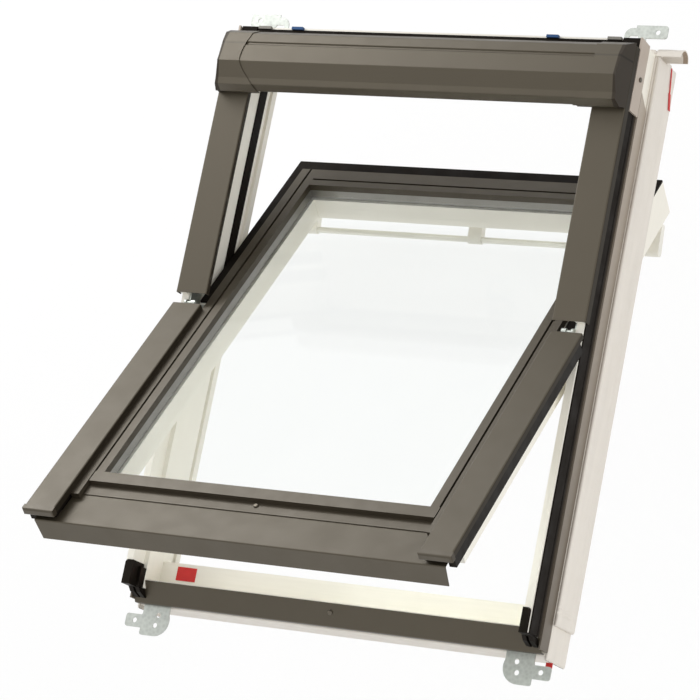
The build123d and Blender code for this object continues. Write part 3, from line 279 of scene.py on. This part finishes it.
def zinc(name, colour):
    """Zinc plate with its spangle."""
    mat, tree, shader = new_material(name)
    vector = coords(tree)
    cells = node(tree, "ShaderNodeTexVoronoi")
    cells.inputs["Scale"].default_value = 160.0
    tree.links.new(vector, cells.inputs["Vector"])
    spangle = cells.outputs["Distance"]
    colours = ramp(tree, spangle, [(0.0, shade(colour, 0.86)), (0.8, shade(colour, 1.08))])
    tree.links.new(colours, shader.inputs["Base Color"])
    set_roughness(tree, shader, noise_out(tree, vector, scale=60.0, detail=4.0), (0.3, 0.46))
    shader.inputs["Metallic"].default_value = 0.85
    bump(tree, shader, spangle, strength=0.06, distance=0.4 * MM)
    return mat


def film(name, colour):
    """Foam under a thin film: long soft creases with painted shade in their hollows, and small wrinkles."""
    mat, tree, shader = new_material(name)
    crease = noise_out(tree, coords(tree, (1.0, 0.12, 1.0)), scale=38.0, detail=3.0)
    wrinkle = noise_out(tree, coords(tree), scale=55.0, detail=4.0)
    # Painted shade: the film is drawn darker where the crease noise sinks it.
    tree.links.new(drifting(tree, crease, shade(colour, 0.93), colour), shader.inputs["Base Color"])
    set_roughness(tree, shader, wrinkle, (0.35, 0.6))
    wrinkle_share = 0.4
    relief = node(tree, "ShaderNodeMath", operation="MULTIPLY_ADD")
    relief.inputs[1].default_value = wrinkle_share
    tree.links.new(wrinkle, relief.inputs[0])
    tree.links.new(crease, relief.inputs[2])
    bump(tree, shader, relief.outputs[0], strength=0.35, distance=2.5 * MM)
    return mat


def pane(name, colour, shadow_colour):
    """Clear sheet glass that lets light through to what lies behind it."""
    mat, tree, shader = new_material(name)
    haze = noise_out(tree, coords(tree), scale=3.0, detail=3.0)
    tree.links.new(drifting(tree, haze, shade(colour, 0.992), colour), shader.inputs["Base Color"])
    set_roughness(tree, shader, haze, (0.0, 0.012))
    shader.inputs["Transmission Weight"].default_value = 1.0
    shader.inputs["IOR"].default_value = 1.2
    clear = node(tree, "ShaderNodeBsdfTransparent")
    clear.inputs["Color"].default_value = shadow_colour
    path = node(tree, "ShaderNodeLightPath")
    mix = node(tree, "ShaderNodeMixShader")
    tree.links.new(path.outputs["Is Shadow Ray"], mix.inputs["Fac"])
    tree.links.new(shader.outputs["BSDF"], mix.inputs[1])
    tree.links.new(clear.outputs["BSDF"], mix.inputs[2])
    tree.links.new(mix.outputs["Shader"], tree.nodes["Material Output"].inputs["Surface"])
    return mat


def lacquer(name, colour, painted_side_colour, edge_gloss, rough, coarse, vary):
    """Cladding lacquer: warm sheen on the faces, flatter on the folded side edges, whose colour is a painted
    shade or painted light tone.
    """
    mat, tree, shader = new_material(name)
    vector = coords(tree)
    drift = noise_out(tree, vector, scale=coarse, detail=3.0)
    faces = drifting(tree, drift, shade(colour, 1.0 - vary), shade(colour, 1.0 + vary))
    edges = drifting(tree, drift, painted_side_colour, shade(painted_side_colour, 1.15))
    # Painted shade or light: faces that point along X take the side colour, which stands in for how light
    # falls on them.
    geometry = node(tree, "ShaderNodeNewGeometry")
    split = node(tree, "ShaderNodeSeparateXYZ")
    tree.links.new(geometry.outputs["True Normal"], split.inputs[0])
    side = map_range(tree, size_of(tree, split.outputs["X"]), (0.75, 0.95), (0.0, 1.0))
    tree.links.new(mix_colours(tree, faces, edges, side), shader.inputs["Base Color"])
    sheen = map_range(tree, side, (0.0, 1.0), (lacquer_gloss, edge_gloss))
    tree.links.new(sheen, shader.inputs["Specular IOR Level"])
    shader.inputs["Specular Tint"].default_value = lacquer_tint
    set_roughness(tree, shader, noise_out(tree, vector, scale=coarse * 4.0, detail=4.0), rough)
    bump(tree, shader, noise_out(tree, vector, scale=1100.0, detail=2.0), strength=0.08, distance=0.2 * MM)
    return mat


def two_tone(name, colour, end_colour, edge_x, crease):
    """End cap: lacquered sleeve with painted shade drawn along the hood's crease, and a darker moulded end.
    """
    mat, tree, shader = new_material(name)
    blur = 0.3 * MM
    place = along_axis(tree, "X", edge_x - blur, edge_x + blur, True)
    tones = ramp(tree, place, [(0.0, colour), (1.0, end_colour)])
    full, crease_shade_tone = (1.0, 1.0, 1.0, 1.0), (0.3, 0.3, 0.3, 1.0)
    # Painted shade: a dark line along the hood's crease stands in for the shade in its groove.
    line = along_axis(tree, "Y", *crease)
    painted_crease_shade = ramp(tree, line, [(0.0, full), (0.2, full), (0.38, crease_shade_tone), (0.62, crease_shade_tone), (0.8, full)])
    tree.links.new(mix_colours(tree, tones, painted_crease_shade, 1.0, "MULTIPLY"), shader.inputs["Base Color"])
    shader.inputs["Specular Tint"].default_value = lacquer_tint
    end_gloss = 0.3
    sheen = map_range(tree, place, (0.0, 1.0), (lacquer_gloss, end_gloss))
    tree.links.new(sheen, shader.inputs["Specular IOR Level"])
    vector = coords(tree)
    set_roughness(tree, shader, noise_out(tree, vector, scale=24.0, detail=4.0), (0.42, 0.49))
    bump(tree, shader, noise_out(tree, vector, scale=900.0, detail=2.0), strength=0.1, distance=0.2 * MM)
    return mat


def painted_light_strip(name, lit_colour, dim_colour, low_y, high_y):
    """Side strip: brown cladding lacquer drawn beige as a painted reflection, with painted light that falls
    off down the slope.
    """
    mat, tree, shader = new_material(name)
    place = along_axis(tree, "Y", low_y, high_y)
    tree.links.new(ramp(tree, place, [(0.0, dim_colour), (1.0, lit_colour)]), shader.inputs["Base Color"])
    vector = coords(tree)
    set_roughness(tree, shader, noise_out(tree, vector, scale=30.0, detail=4.0), (0.38, 0.48))
    shader.inputs["Metallic"].default_value = 0.2
    bump(tree, shader, noise_out(tree, vector, scale=900.0, detail=2.0), strength=0.1, distance=0.2 * MM)
    return mat


# Colours that several materials share
white = lin(249, 245, 234)
umber = lin(50, 44, 32)
trim_umber = lin(48, 42, 32)

# Places, in metres, that the drawn tones follow: the cap's end, the band of painted shade along the hood's
# crease, and the side strip's painted light that falls off down the slope
cap_end_x = 0.3765
crease_shade_band = (0.4612, 0.4692)
strip_light_fall = (-0.52, 0.45)
seal_low, seal_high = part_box("side_gaskets")

# Timber and cladding
timber_x = grained("white_timber_across", white, along=0)
timber_y = grained("white_timber_along", white, along=1)
# Cladding: its side faces are painted darker, a painted shade.
cladding = lacquer(
    "cladding_lacquer",
    umber,
    painted_side_colour=lin(42, 37, 29),
    edge_gloss=0.12,
    rough=(0.44, 0.51),
    coarse=6.0,
    vary=0.05,
)
# Trim: its side faces are painted lighter, a painted light.
trim = lacquer(
    "trim_lacquer",
    trim_umber,
    painted_side_colour=lin(56, 50, 40),
    edge_gloss=0.45,
    rough=(0.42, 0.5),
    coarse=9.0,
    vary=0.06,
)
cap = two_tone("cap_lacquer", umber, lin(42, 36, 30), cap_end_x, crease_shade_band)
# Cover caps: their side faces are painted a little lighter, a painted light.
cover_cap = lacquer(
    "cover_cap_plastic",
    trim_umber,
    painted_side_colour=lin(50, 44, 35),
    edge_gloss=0.35,
    rough=(0.42, 0.5),
    coarse=9.0,
    vary=0.05,
)
# Painted light: the strip's beige stands for the brown lacquer's reflection, and it darkens down the slope
# as the light falls off.
strip_mat = painted_light_strip("side_strip_lacquer", lin(176, 164, 150), lin(100, 91, 79), *strip_light_fall)

# Plastics
plate_mat = coated(
    "plate_plastic", lin(178, 165, 152), rough=(0.4, 0.5), coarse=9.0, fine=700.0, vary=0.05, grain=0.15
)
black = coated(
    "black_plastic",
    lin(18, 15, 12),
    rough=(0.42, 0.55),
    coarse=14.0,
    fine=650.0,
    vary=0.2,
    grain=0.3,
    gloss=0.12,
    tint=rubber_tint,
)
blue = coated(
    "blue_plastic",
    lin(28, 72, 122),
    rough=(0.4, 0.5),
    coarse=40.0,
    fine=800.0,
    vary=0.1,
    grain=0.2,
    gloss=0.3,
)
grey = coated(
    "grey_plastic", lin(128, 124, 116), rough=(0.45, 0.55), coarse=40.0, fine=800.0, vary=0.1, grain=0.2
)
red = coated(
    "red_film", lin(206, 50, 48), rough=(0.35, 0.5), coarse=50.0, fine=800.0, vary=0.1, grain=0.15, gloss=0.3
)
white_plastic = coated(
    "white_plastic", lin(238, 235, 225), rough=(0.3, 0.42), coarse=14.0, fine=600.0, vary=0.03, grain=0.15
)

# Rubber, foam and glass
gasket = rubber("gasket_rubber", lin(16, 13, 11))
# The black of this seal is partly painted shadow.
side_seal = seal_with_painted_shadow("side_gasket_rubber", lin(19, 15, 12), lin(70, 63, 54), seal_low[2], seal_high[2])
foam = film("collar_film", lin(229, 222, 212))
foam_end = rubber("collar_core", lin(40, 36, 33))
# Painted shade: the inside of the flap's curl, drawn darker brown.
foam_painted_shade = film("collar_painted_shade", lin(168, 150, 132))
glass = pane("clear_glass", (0.985, 0.993, 0.988, 1.0), (0.95, 0.97, 0.955, 1.0))

# Metals
zinc_mat = zinc("zinc_plate", lin(186, 190, 184))
screw_mat = coated(
    "screw_plate",
    lin(96, 90, 80),
    rough=(0.28, 0.4),
    coarse=60.0,
    fine=900.0,
    vary=0.1,
    grain=0.1,
    metallic=0.8,
)
spacer_mat = coated(
    "spacer_metal",
    lin(150, 148, 142),
    rough=(0.35, 0.5),
    coarse=20.0,
    fine=900.0,
    vary=0.06,
    grain=0.15,
    metallic=0.8,
)
bar_mat = coated(
    "bar_metal",
    lin(234, 232, 222),
    rough=(0.28, 0.36),
    coarse=12.0,
    fine=1200.0,
    vary=0.04,
    grain=0.1,
    metallic=0.2,
)


# Which solid wears which material
def pair(name):
    """Names of a left and a right node."""
    return ["left_" + name, "right_" + name]


looks = {
    timber_y: pair("jamb") + pair("sash_stile"),
    timber_x: ["head", "sill", "sash_top_rail", "sash_bottom_rail"],
    cladding: pair("upper_cover") + pair("sash_cover") + ["hood", "sill_cover_strip", "apron"],
    trim: pair("glazing_trim") + ["top_glazing_trim", "bottom_glazing_bead"],
    cap: pair("hood_end_cap"),
    cover_cap: pair("cover_end_cap"),
    strip_mat: pair("side_strip"),
    plate_mat: pair("hood_side_plate"),
    black: pair("corner_block") + pair("cover_rail"),
    gasket: ["jamb_gaskets", "sash_edge_gasket", "hood_seal"],
    side_seal: ["side_gaskets"],
    foam: pair("collar") + ["top_collar", "bottom_collar"],
    zinc_mat: pair("frame_hinge") + pair("sash_hinge") + ["corner_brackets", "striker", "latch_bolt"],
    screw_mat: ["bracket_screws", "cladding_screws", "apron_screw"],
    glass: ["outer_pane", "inner_pane"],
    spacer_mat: ["glass_spacer"],
    blue: ["hood_clips"],
    grey: ["hood_spacers"],
    red: ["sill_label", "pull_tabs"],
    bar_mat: ["control_bar"],
    white_plastic: ["bar_arms", "bar_lugs"],
}
for mat, names in looks.items():
    for name in names:
        obj = nodes[name]
        obj.data.materials.clear()
        obj.data.materials.append(mat)

# Small rounded edges on the solids, so that they catch the light; widths in metres
timber_edge = 0.0012
moulded_edge = 0.0008
thin_edge = 0.0004
sharpest_kept = math.radians(40.0)
edge_widths = {
    timber_edge: looks[timber_y] + looks[timber_x],
    moulded_edge: looks[black]
    + looks[plate_mat]
    + looks[strip_mat]
    + looks[trim]
    + looks[white_plastic]
    + ["hood_clips", "hood_spacers", "latch_bolt"],
    thin_edge: looks[cap] + ["corner_brackets", "striker"],
}
for width, names in edge_widths.items():
    for name in names:
        bevel = nodes[name].modifiers.new("edges", "BEVEL")
        bevel.width = width
        bevel.segments = 2
        bevel.limit_method = "ANGLE"
        bevel.angle_limit = sharpest_kept
        bevel.harden_normals = False

# Insulation collar: soft slabs of foam in film, in place of the plain solids; sizes in millimetres
slab_corner = 3.0
slab_corner_share = 0.45
corner_turns = (0, 30, 60, 90)
back_depth = 0.5
slab_steps = 22
slab_stations = 150
end_marks = (1.0, 2.5)
slow_depth = 0.7
slow_scale = (0.05, 0.006)
ripple_depth = 0.35
ripple_scale = (0.16, 0.03)
ripple_seed_step = 7.0
seam_depth = 0.8
seam_place_share = 0.7
seam_width = 2.2
end_round = 4.0
end_drop_share = 0.5
deepest_share = 0.7
fold_wander = 2.5
fold_scale = 0.09
fold_seed = 3.0
fold_marks = 12
marks_per_width = 6.0
fold_fade = 10.0
fold_ridge_share = 0.5
fold_ridge_place_share = 2.2


def half_noise(*place):
    """Smooth noise from 0 to 1."""
    return noise.noise(place) * 0.5 + 0.5


def section_loop(thick, height):
    """Slab section: outward 0 to thick, down 0 to height, with rounded outer corners."""
    corner = min(slab_corner, slab_corner_share * thick)
    turns = [math.radians(t) for t in corner_turns]
    across, straight = thick - corner, height - 2 * corner
    points = [(0.0, 0.0)]
    points += [(across + corner * math.sin(t), corner - corner * math.cos(t)) for t in turns]
    points += [(thick, corner + straight * i / slab_steps) for i in range(1, slab_steps)]
    points += [(across + corner * math.cos(t), height - corner + corner * math.sin(t)) for t in turns]
    points.append((0.0, height))
    return points


def dent(down, s, thick, length, seed, height):
    """How far the film lies in from the full thickness at a point of the slab."""
    slow = half_noise(seed, down * slow_scale[0], s * slow_scale[1])
    ripple = half_noise(seed + ripple_seed_step, down * ripple_scale[0], s * ripple_scale[1])
    seam = math.exp(-(((down - seam_place_share * height) / seam_width) ** 2))
    edge = min(s, length - s)
    drop = 0.0
    if edge <= end_round:
        drop = thick * end_drop_share * (1.0 - math.sqrt(1.0 - ((end_round - edge) / end_round) ** 2))
    return slow_depth * slow + ripple_depth * ripple + seam_depth * seam + drop


def fold_dent(fold, down, s, seed, height):
    """How far one cross fold sinks the film; its raised edge counts as less than nothing."""
    centre, width, depth, reach_share = fold
    wave = centre + fold_wander * noise.noise((down * fold_scale, seed, fold_seed))
    fade = min(1.0, max(0.0, (reach_share * height - down) / fold_fade))
    valley = math.exp(-(((s - wave) / width) ** 2))
    ridge = math.exp(-(((s - wave + fold_ridge_place_share * width) / width) ** 2))
    return depth * fade * (valley - fold_ridge_share * ridge)


def slab(bm, place, thick, height, length, seed, folds=(), end_index=0):
    """Adds one soft slab to the mesh; place maps outward, down and along to a point in millimetres."""
    loop = section_loop(thick, height)
    marks = {round(length * i / slab_stations, 3) for i in range(slab_stations + 1)}
    marks |= {end for mark in end_marks for end in (mark, length - mark)}
    for centre, width, _, _ in folds:
        steps = range(-fold_marks, fold_marks + 1)
        marks |= {round(centre + width * k / marks_per_width, 3) for k in steps}
    rows = []
    for s in sorted(marks):
        row = []
        for out, down in loop:
            sink = 0.0
            if out > back_depth:
                sink = dent(down, s, thick, length, seed, height)
                sink += sum(fold_dent(fold, down, s, seed, height) for fold in folds)
                sink = max(0.0, min(sink, deepest_share * thick))
            point = place(out - sink * min(1.0, out / thick), down, s)
            row.append(bm.verts.new([c * MM for c in point]))
        rows.append(row)
    count = len(loop)
    for a, b in zip(rows, rows[1:]):
        for i in range(count):
            j = (i + 1) % count
            face = bm.faces.new((a[i], a[j], b[j], b[i]))
            face.smooth = True
    for row, index in ((rows[0][::-1], end_index), (rows[-1], 0)):
        face = bm.faces.new(row)
        face.material_index = index
        for edge in face.edges:
            edge.smooth = False


def mesh_object(name, bm, mats):
    """Object of a finished mesh, with its materials in order."""
    bmesh.ops.recalc_face_normals(bm, faces=bm.faces)
    mesh = bpy.data.meshes.new(name)
    bm.to_mesh(mesh)
    bm.free()
    for mat in mats:
        mesh.materials.append(mat)
    obj = bpy.data.objects.new(name, mesh)
    scene.collection.objects.link(obj)
    return obj


# Places of the end's material and of the painted shade inside the flap on a soft piece
end_slot = 1
shade_slot = 2


def soft_piece(name, bm, node_name):
    """One strip of the collar, which stands for a plain solid."""
    obj = mesh_object(name, bm, (foam, foam_end, foam_painted_shade))
    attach(obj, "frame")
    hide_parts(node_name)
    return obj


# Side strips: a long inner layer and an outer one that stops short of the lower end, with two folds there
inner_layer = 5.0
outer_layer_setback = 43.0

# Each fold: place along the layer, width, depth, and the share of the height that it reaches down
side_folds = ((22.0, 3.0, 1.6, 0.75), (31.0, 2.4, 0.9, 0.5))
jamb_low, jamb_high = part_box("right_jamb")
low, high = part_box("right_collar")
side_in, side_out = jamb_high[0] / MM, high[0] / MM
layer = side_in + inner_layer
low_y, high_y = low[1] / MM, high[1] / MM
step_y = jamb_low[1] / MM + outer_layer_setback
top_z, bottom_z = high[2] / MM, low[2] / MM
tall = top_z - bottom_z
for side, sign in SIDES:
    bm = bmesh.new()
    slab(
        bm,
        lambda out, down, s: (sign * (side_in + out), low_y + s, top_z - down),
        layer - side_in,
        tall,
        high_y - low_y,
        seed=2.0 + sign,
        end_index=end_slot,
    )
    slab(
        bm,
        lambda out, down, s: (sign * (layer + out), step_y + s, top_z - down),
        side_out - layer,
        tall,
        high_y - step_y,
        seed=11.0 + sign,
        folds=side_folds,
    )
    soft_piece(side + "_collar_foam", bm, side + "_collar")

# Lower strip
low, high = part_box("bottom_collar")
front = high[1] / MM
bm = bmesh.new()
slab(
    bm,
    lambda out, down, s: (low[0] / MM + s, front - out, top_z - down),
    front - low[1] / MM,
    tall,
    (high[0] - low[0]) / MM,
    seed=23.0,
)
soft_piece("bottom_collar_foam", bm, "bottom_collar")

# Upper strip with the loose flap that curls past the right corner
upper_thick = 10.0
flap_radius = 18.0
flap_inset = 3.0
flap_wall = 2.0
flap_crumple = 0.8
flap_scale = (0.06, 0.22)
flap_seed = 5.0
flap_half_turn = 89.0
flap_shaded_steps = 3
turn_steps = 20
run_steps = 16
low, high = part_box("top_collar")
rear = jamb_high[1] / MM
bm = bmesh.new()
slab(
    bm,
    lambda out, down, s: (low[0] / MM + s, rear + out, top_z - down),
    upper_thick,
    tall,
    side_in - low[0] / MM,
    seed=31.0,
)
middle_y, middle_z = rear - flap_inset, top_z - flap_radius
rings = []
for wall in (0.0, flap_wall):
    sheet = []
    for i in range(run_steps + 1):
        x = side_in + (high[0] / MM - side_in) * i / run_steps
        row = []
        for k in range(turn_steps + 1):
            angle = math.radians(flap_half_turn * (2.0 * k / turn_steps - 1.0))
            crumple = flap_crumple * half_noise(x * flap_scale[0], k * flap_scale[1], flap_seed)
            r = flap_radius - wall - crumple
            point = (x, middle_y + r * math.cos(angle), middle_z + r * math.sin(angle))
            row.append(bm.verts.new([c * MM for c in point]))
        sheet.append(row)
    rings.append(sheet)
outer, inner = rings
for i in range(run_steps):
    # The last steps of the flap's inner face take the painted shade.
    inner_index = shade_slot if i >= run_steps - flap_shaded_steps else 0
    for k in range(turn_steps):
        for sheet, index in ((outer, 0), (inner, inner_index)):
            face = bm.faces.new((sheet[i][k], sheet[i + 1][k], sheet[i + 1][k + 1], sheet[i][k + 1]))
            face.smooth = True
            face.material_index = index
for i in range(run_steps):
    for k in (0, turn_steps):
        bm.faces.new((outer[i][k], outer[i + 1][k], inner[i + 1][k], inner[i][k]))
for k in range(turn_steps):
    for i in (0, run_steps):
        bm.faces.new((outer[i][k], outer[i][k + 1], inner[i][k + 1], inner[i][k]))
soft_piece("top_collar_foam", bm, "top_collar")


# Small black mouldings
def swung(x, y, depth):
    """Point of the closed sash, turned to where the sash stands at rest; millimetres to metres."""
    rise = cladding_level - depth - pivot_level
    return (
        x * MM,
        (y * math.cos(rest_opening) + rise * math.sin(rest_opening)) * MM,
        (pivot_level - y * math.sin(rest_opening) + rise * math.cos(rest_opening)) * MM,
    )


def moulding(name, prisms, body, mat):
    """Small moulded piece made of prisms, each given by its two end outlines."""
    bm = bmesh.new()
    for first, second in prisms:
        ends = [[bm.verts.new(point) for point in outline] for outline in (first, second)]
        count = len(first)
        for end in ends:
            bm.faces.new(end)
        for i in range(count):
            j = (i + 1) % count
            bm.faces.new((ends[0][i], ends[0][j], ends[1][j], ends[1][i]))
    obj = mesh_object(name, bm, (mat,))
    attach(obj, body)
    return obj


# Filler under each lower corner of the sash, between cover and apron
filler_inner_x, filler_outer_x = 322.0, 357.0
filler_low_y, filler_high_y = -527.0, -472.0
filler_depths = (27.0, 25.0)
filler_outline = [
    (filler_inner_x, filler_low_y),
    (filler_outer_x, filler_low_y),
    (filler_outer_x, filler_high_y),
    (filler_inner_x, filler_high_y),
]
for side, sign in SIDES:
    faces = [[swung(sign * x, y, d) for x, y in filler_outline] for d in filler_depths]
    moulding(side + "_corner_filler", [faces], "sash", black)

# Base of each corner shoe on the shoulder of the jamb, and its two prongs over the end of the sill strip
base_reach, base_lap = 6.0, 0.2
inner_prong_reach, inner_prong_lap = 5.5, 2.0
outer_prong_width = 8.5

# Outlines, as steps up the slope and outward from the foot of the shoe's lower end
base_steps = [(1.5, 0.2), (1.5, 13.0), (9.0, 17.0), (35.0, 17.0), (35.0, 0.2)]
prong_steps = [(0.5, -7.0), (0.5, 13.0), (-7.0, 4.0), (-13.0, -13.0), (-13.0, -18.5)]
shoe_low, shoe_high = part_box("right_corner_block")
shoe_inner_x, shoe_outer_x = shoe_low[0] / MM, shoe_high[0] / MM
shoe_end_y, shoe_foot_z = shoe_low[1] / MM, shoe_low[2] / MM
foot_parts = (
    (base_steps, shoe_inner_x - base_reach, shoe_inner_x + base_lap),
    (prong_steps, shoe_inner_x - inner_prong_reach, shoe_inner_x + inner_prong_lap),
    (prong_steps, shoe_outer_x - outer_prong_width, shoe_outer_x),
)
for side, sign in SIDES:
    prisms = []
    for steps, near, far in foot_parts:
        line = [(shoe_end_y + along, shoe_foot_z + up) for along, up in steps]
        prisms.append([[(sign * x * MM, y * MM, z * MM) for y, z in line] for x in (near, far)])
    moulding(side + "_shoe_foot", prisms, "frame", black)

# White surround that the camera, metal and glass see; softer light for the rest
soft_level = 0.63
seen_level = 1.0
world = bpy.data.worlds.new("surround")
scene.world = world
world.use_nodes = True
tree = world.node_tree
background = tree.nodes["Background"]
background.inputs["Color"].default_value = (1.0, 1.0, 1.0, 1.0)
level = map_range(tree, seen_directly(tree), (0.0, 1.0), (soft_level, seen_level))
tree.links.new(level, background.inputs["Strength"])


# Lamps: name, place, target, size and power, in metres and watts
def lamp(name, place, target, size, power):
    """Area lamp that faces its target."""
    data = bpy.data.lights.new(name, "AREA")
    data.shape = "RECTANGLE"
    data.size, data.size_y = size
    data.energy = power
    obj = bpy.data.objects.new(name, data)
    scene.collection.objects.link(obj)
    obj.location = place
    obj.rotation_euler = (Vector(target) - Vector(place)).to_track_quat("-Z", "Y").to_euler()


lamp("key", (-2.1, 1.6, 1.15), (0.0, 0.0, 0.0), (1.3, 0.9), 35.0)
lamp("rear", (-1.1, 1.9, 0.9), (-0.1, 0.45, 0.1), (0.8, 0.5), 9.0)
lamp("overhead", (-0.9, 0.45, 2.4), (-0.1, 0.1, 0.1), (1.0, 0.8), 4.5)
lamp("side", (2.9, -0.7, 1.2), (0.2, 0.0, 0.0), (2.4, 2.0), 27.0)
lamp("front", (-1.2, -3.2, 0.6), (0.0, -0.5, 0.0), (2.0, 1.2), 8.0)

# Floor: nearly white to the camera, with a share of real shading left for the object's shadow
floor_half = 14.0
floor_z = -0.42
floor_colour = (0.9, 0.9, 0.89, 1.0)
floor_rough = 0.9
white_share = 0.93
floor_corners = [(-1, -1), (1, -1), (1, 1), (-1, 1)]
floor_mesh = bpy.data.meshes.new("floor")
floor_points = [(x * floor_half, y * floor_half, floor_z) for x, y in floor_corners]
floor_mesh.from_pydata(floor_points, [], [(0, 1, 2, 3)])
floor = bpy.data.objects.new("floor", floor_mesh)
scene.collection.objects.link(floor)
floor_mat, tree, shader = new_material("pale_floor")
shader.inputs["Base Color"].default_value = floor_colour
shader.inputs["Roughness"].default_value = floor_rough
shader.inputs["Specular IOR Level"].default_value = 0.0
glow = node(tree, "ShaderNodeEmission")
glow.inputs["Color"].default_value = (1.0, 1.0, 1.0, 1.0)
glow.inputs["Strength"].default_value = 1.0
share = node(tree, "ShaderNodeMath", operation="MULTIPLY")
share.inputs[1].default_value = white_share
mix = node(tree, "ShaderNodeMixShader")
tree.links.new(seen_directly(tree), share.inputs[0])
tree.links.new(share.outputs[0], mix.inputs["Fac"])
tree.links.new(shader.outputs["BSDF"], mix.inputs[1])
tree.links.new(glow.outputs["Emission"], mix.inputs[2])
tree.links.new(mix.outputs["Shader"], tree.nodes["Material Output"].inputs["Surface"])
floor_mesh.materials.append(floor_mat)
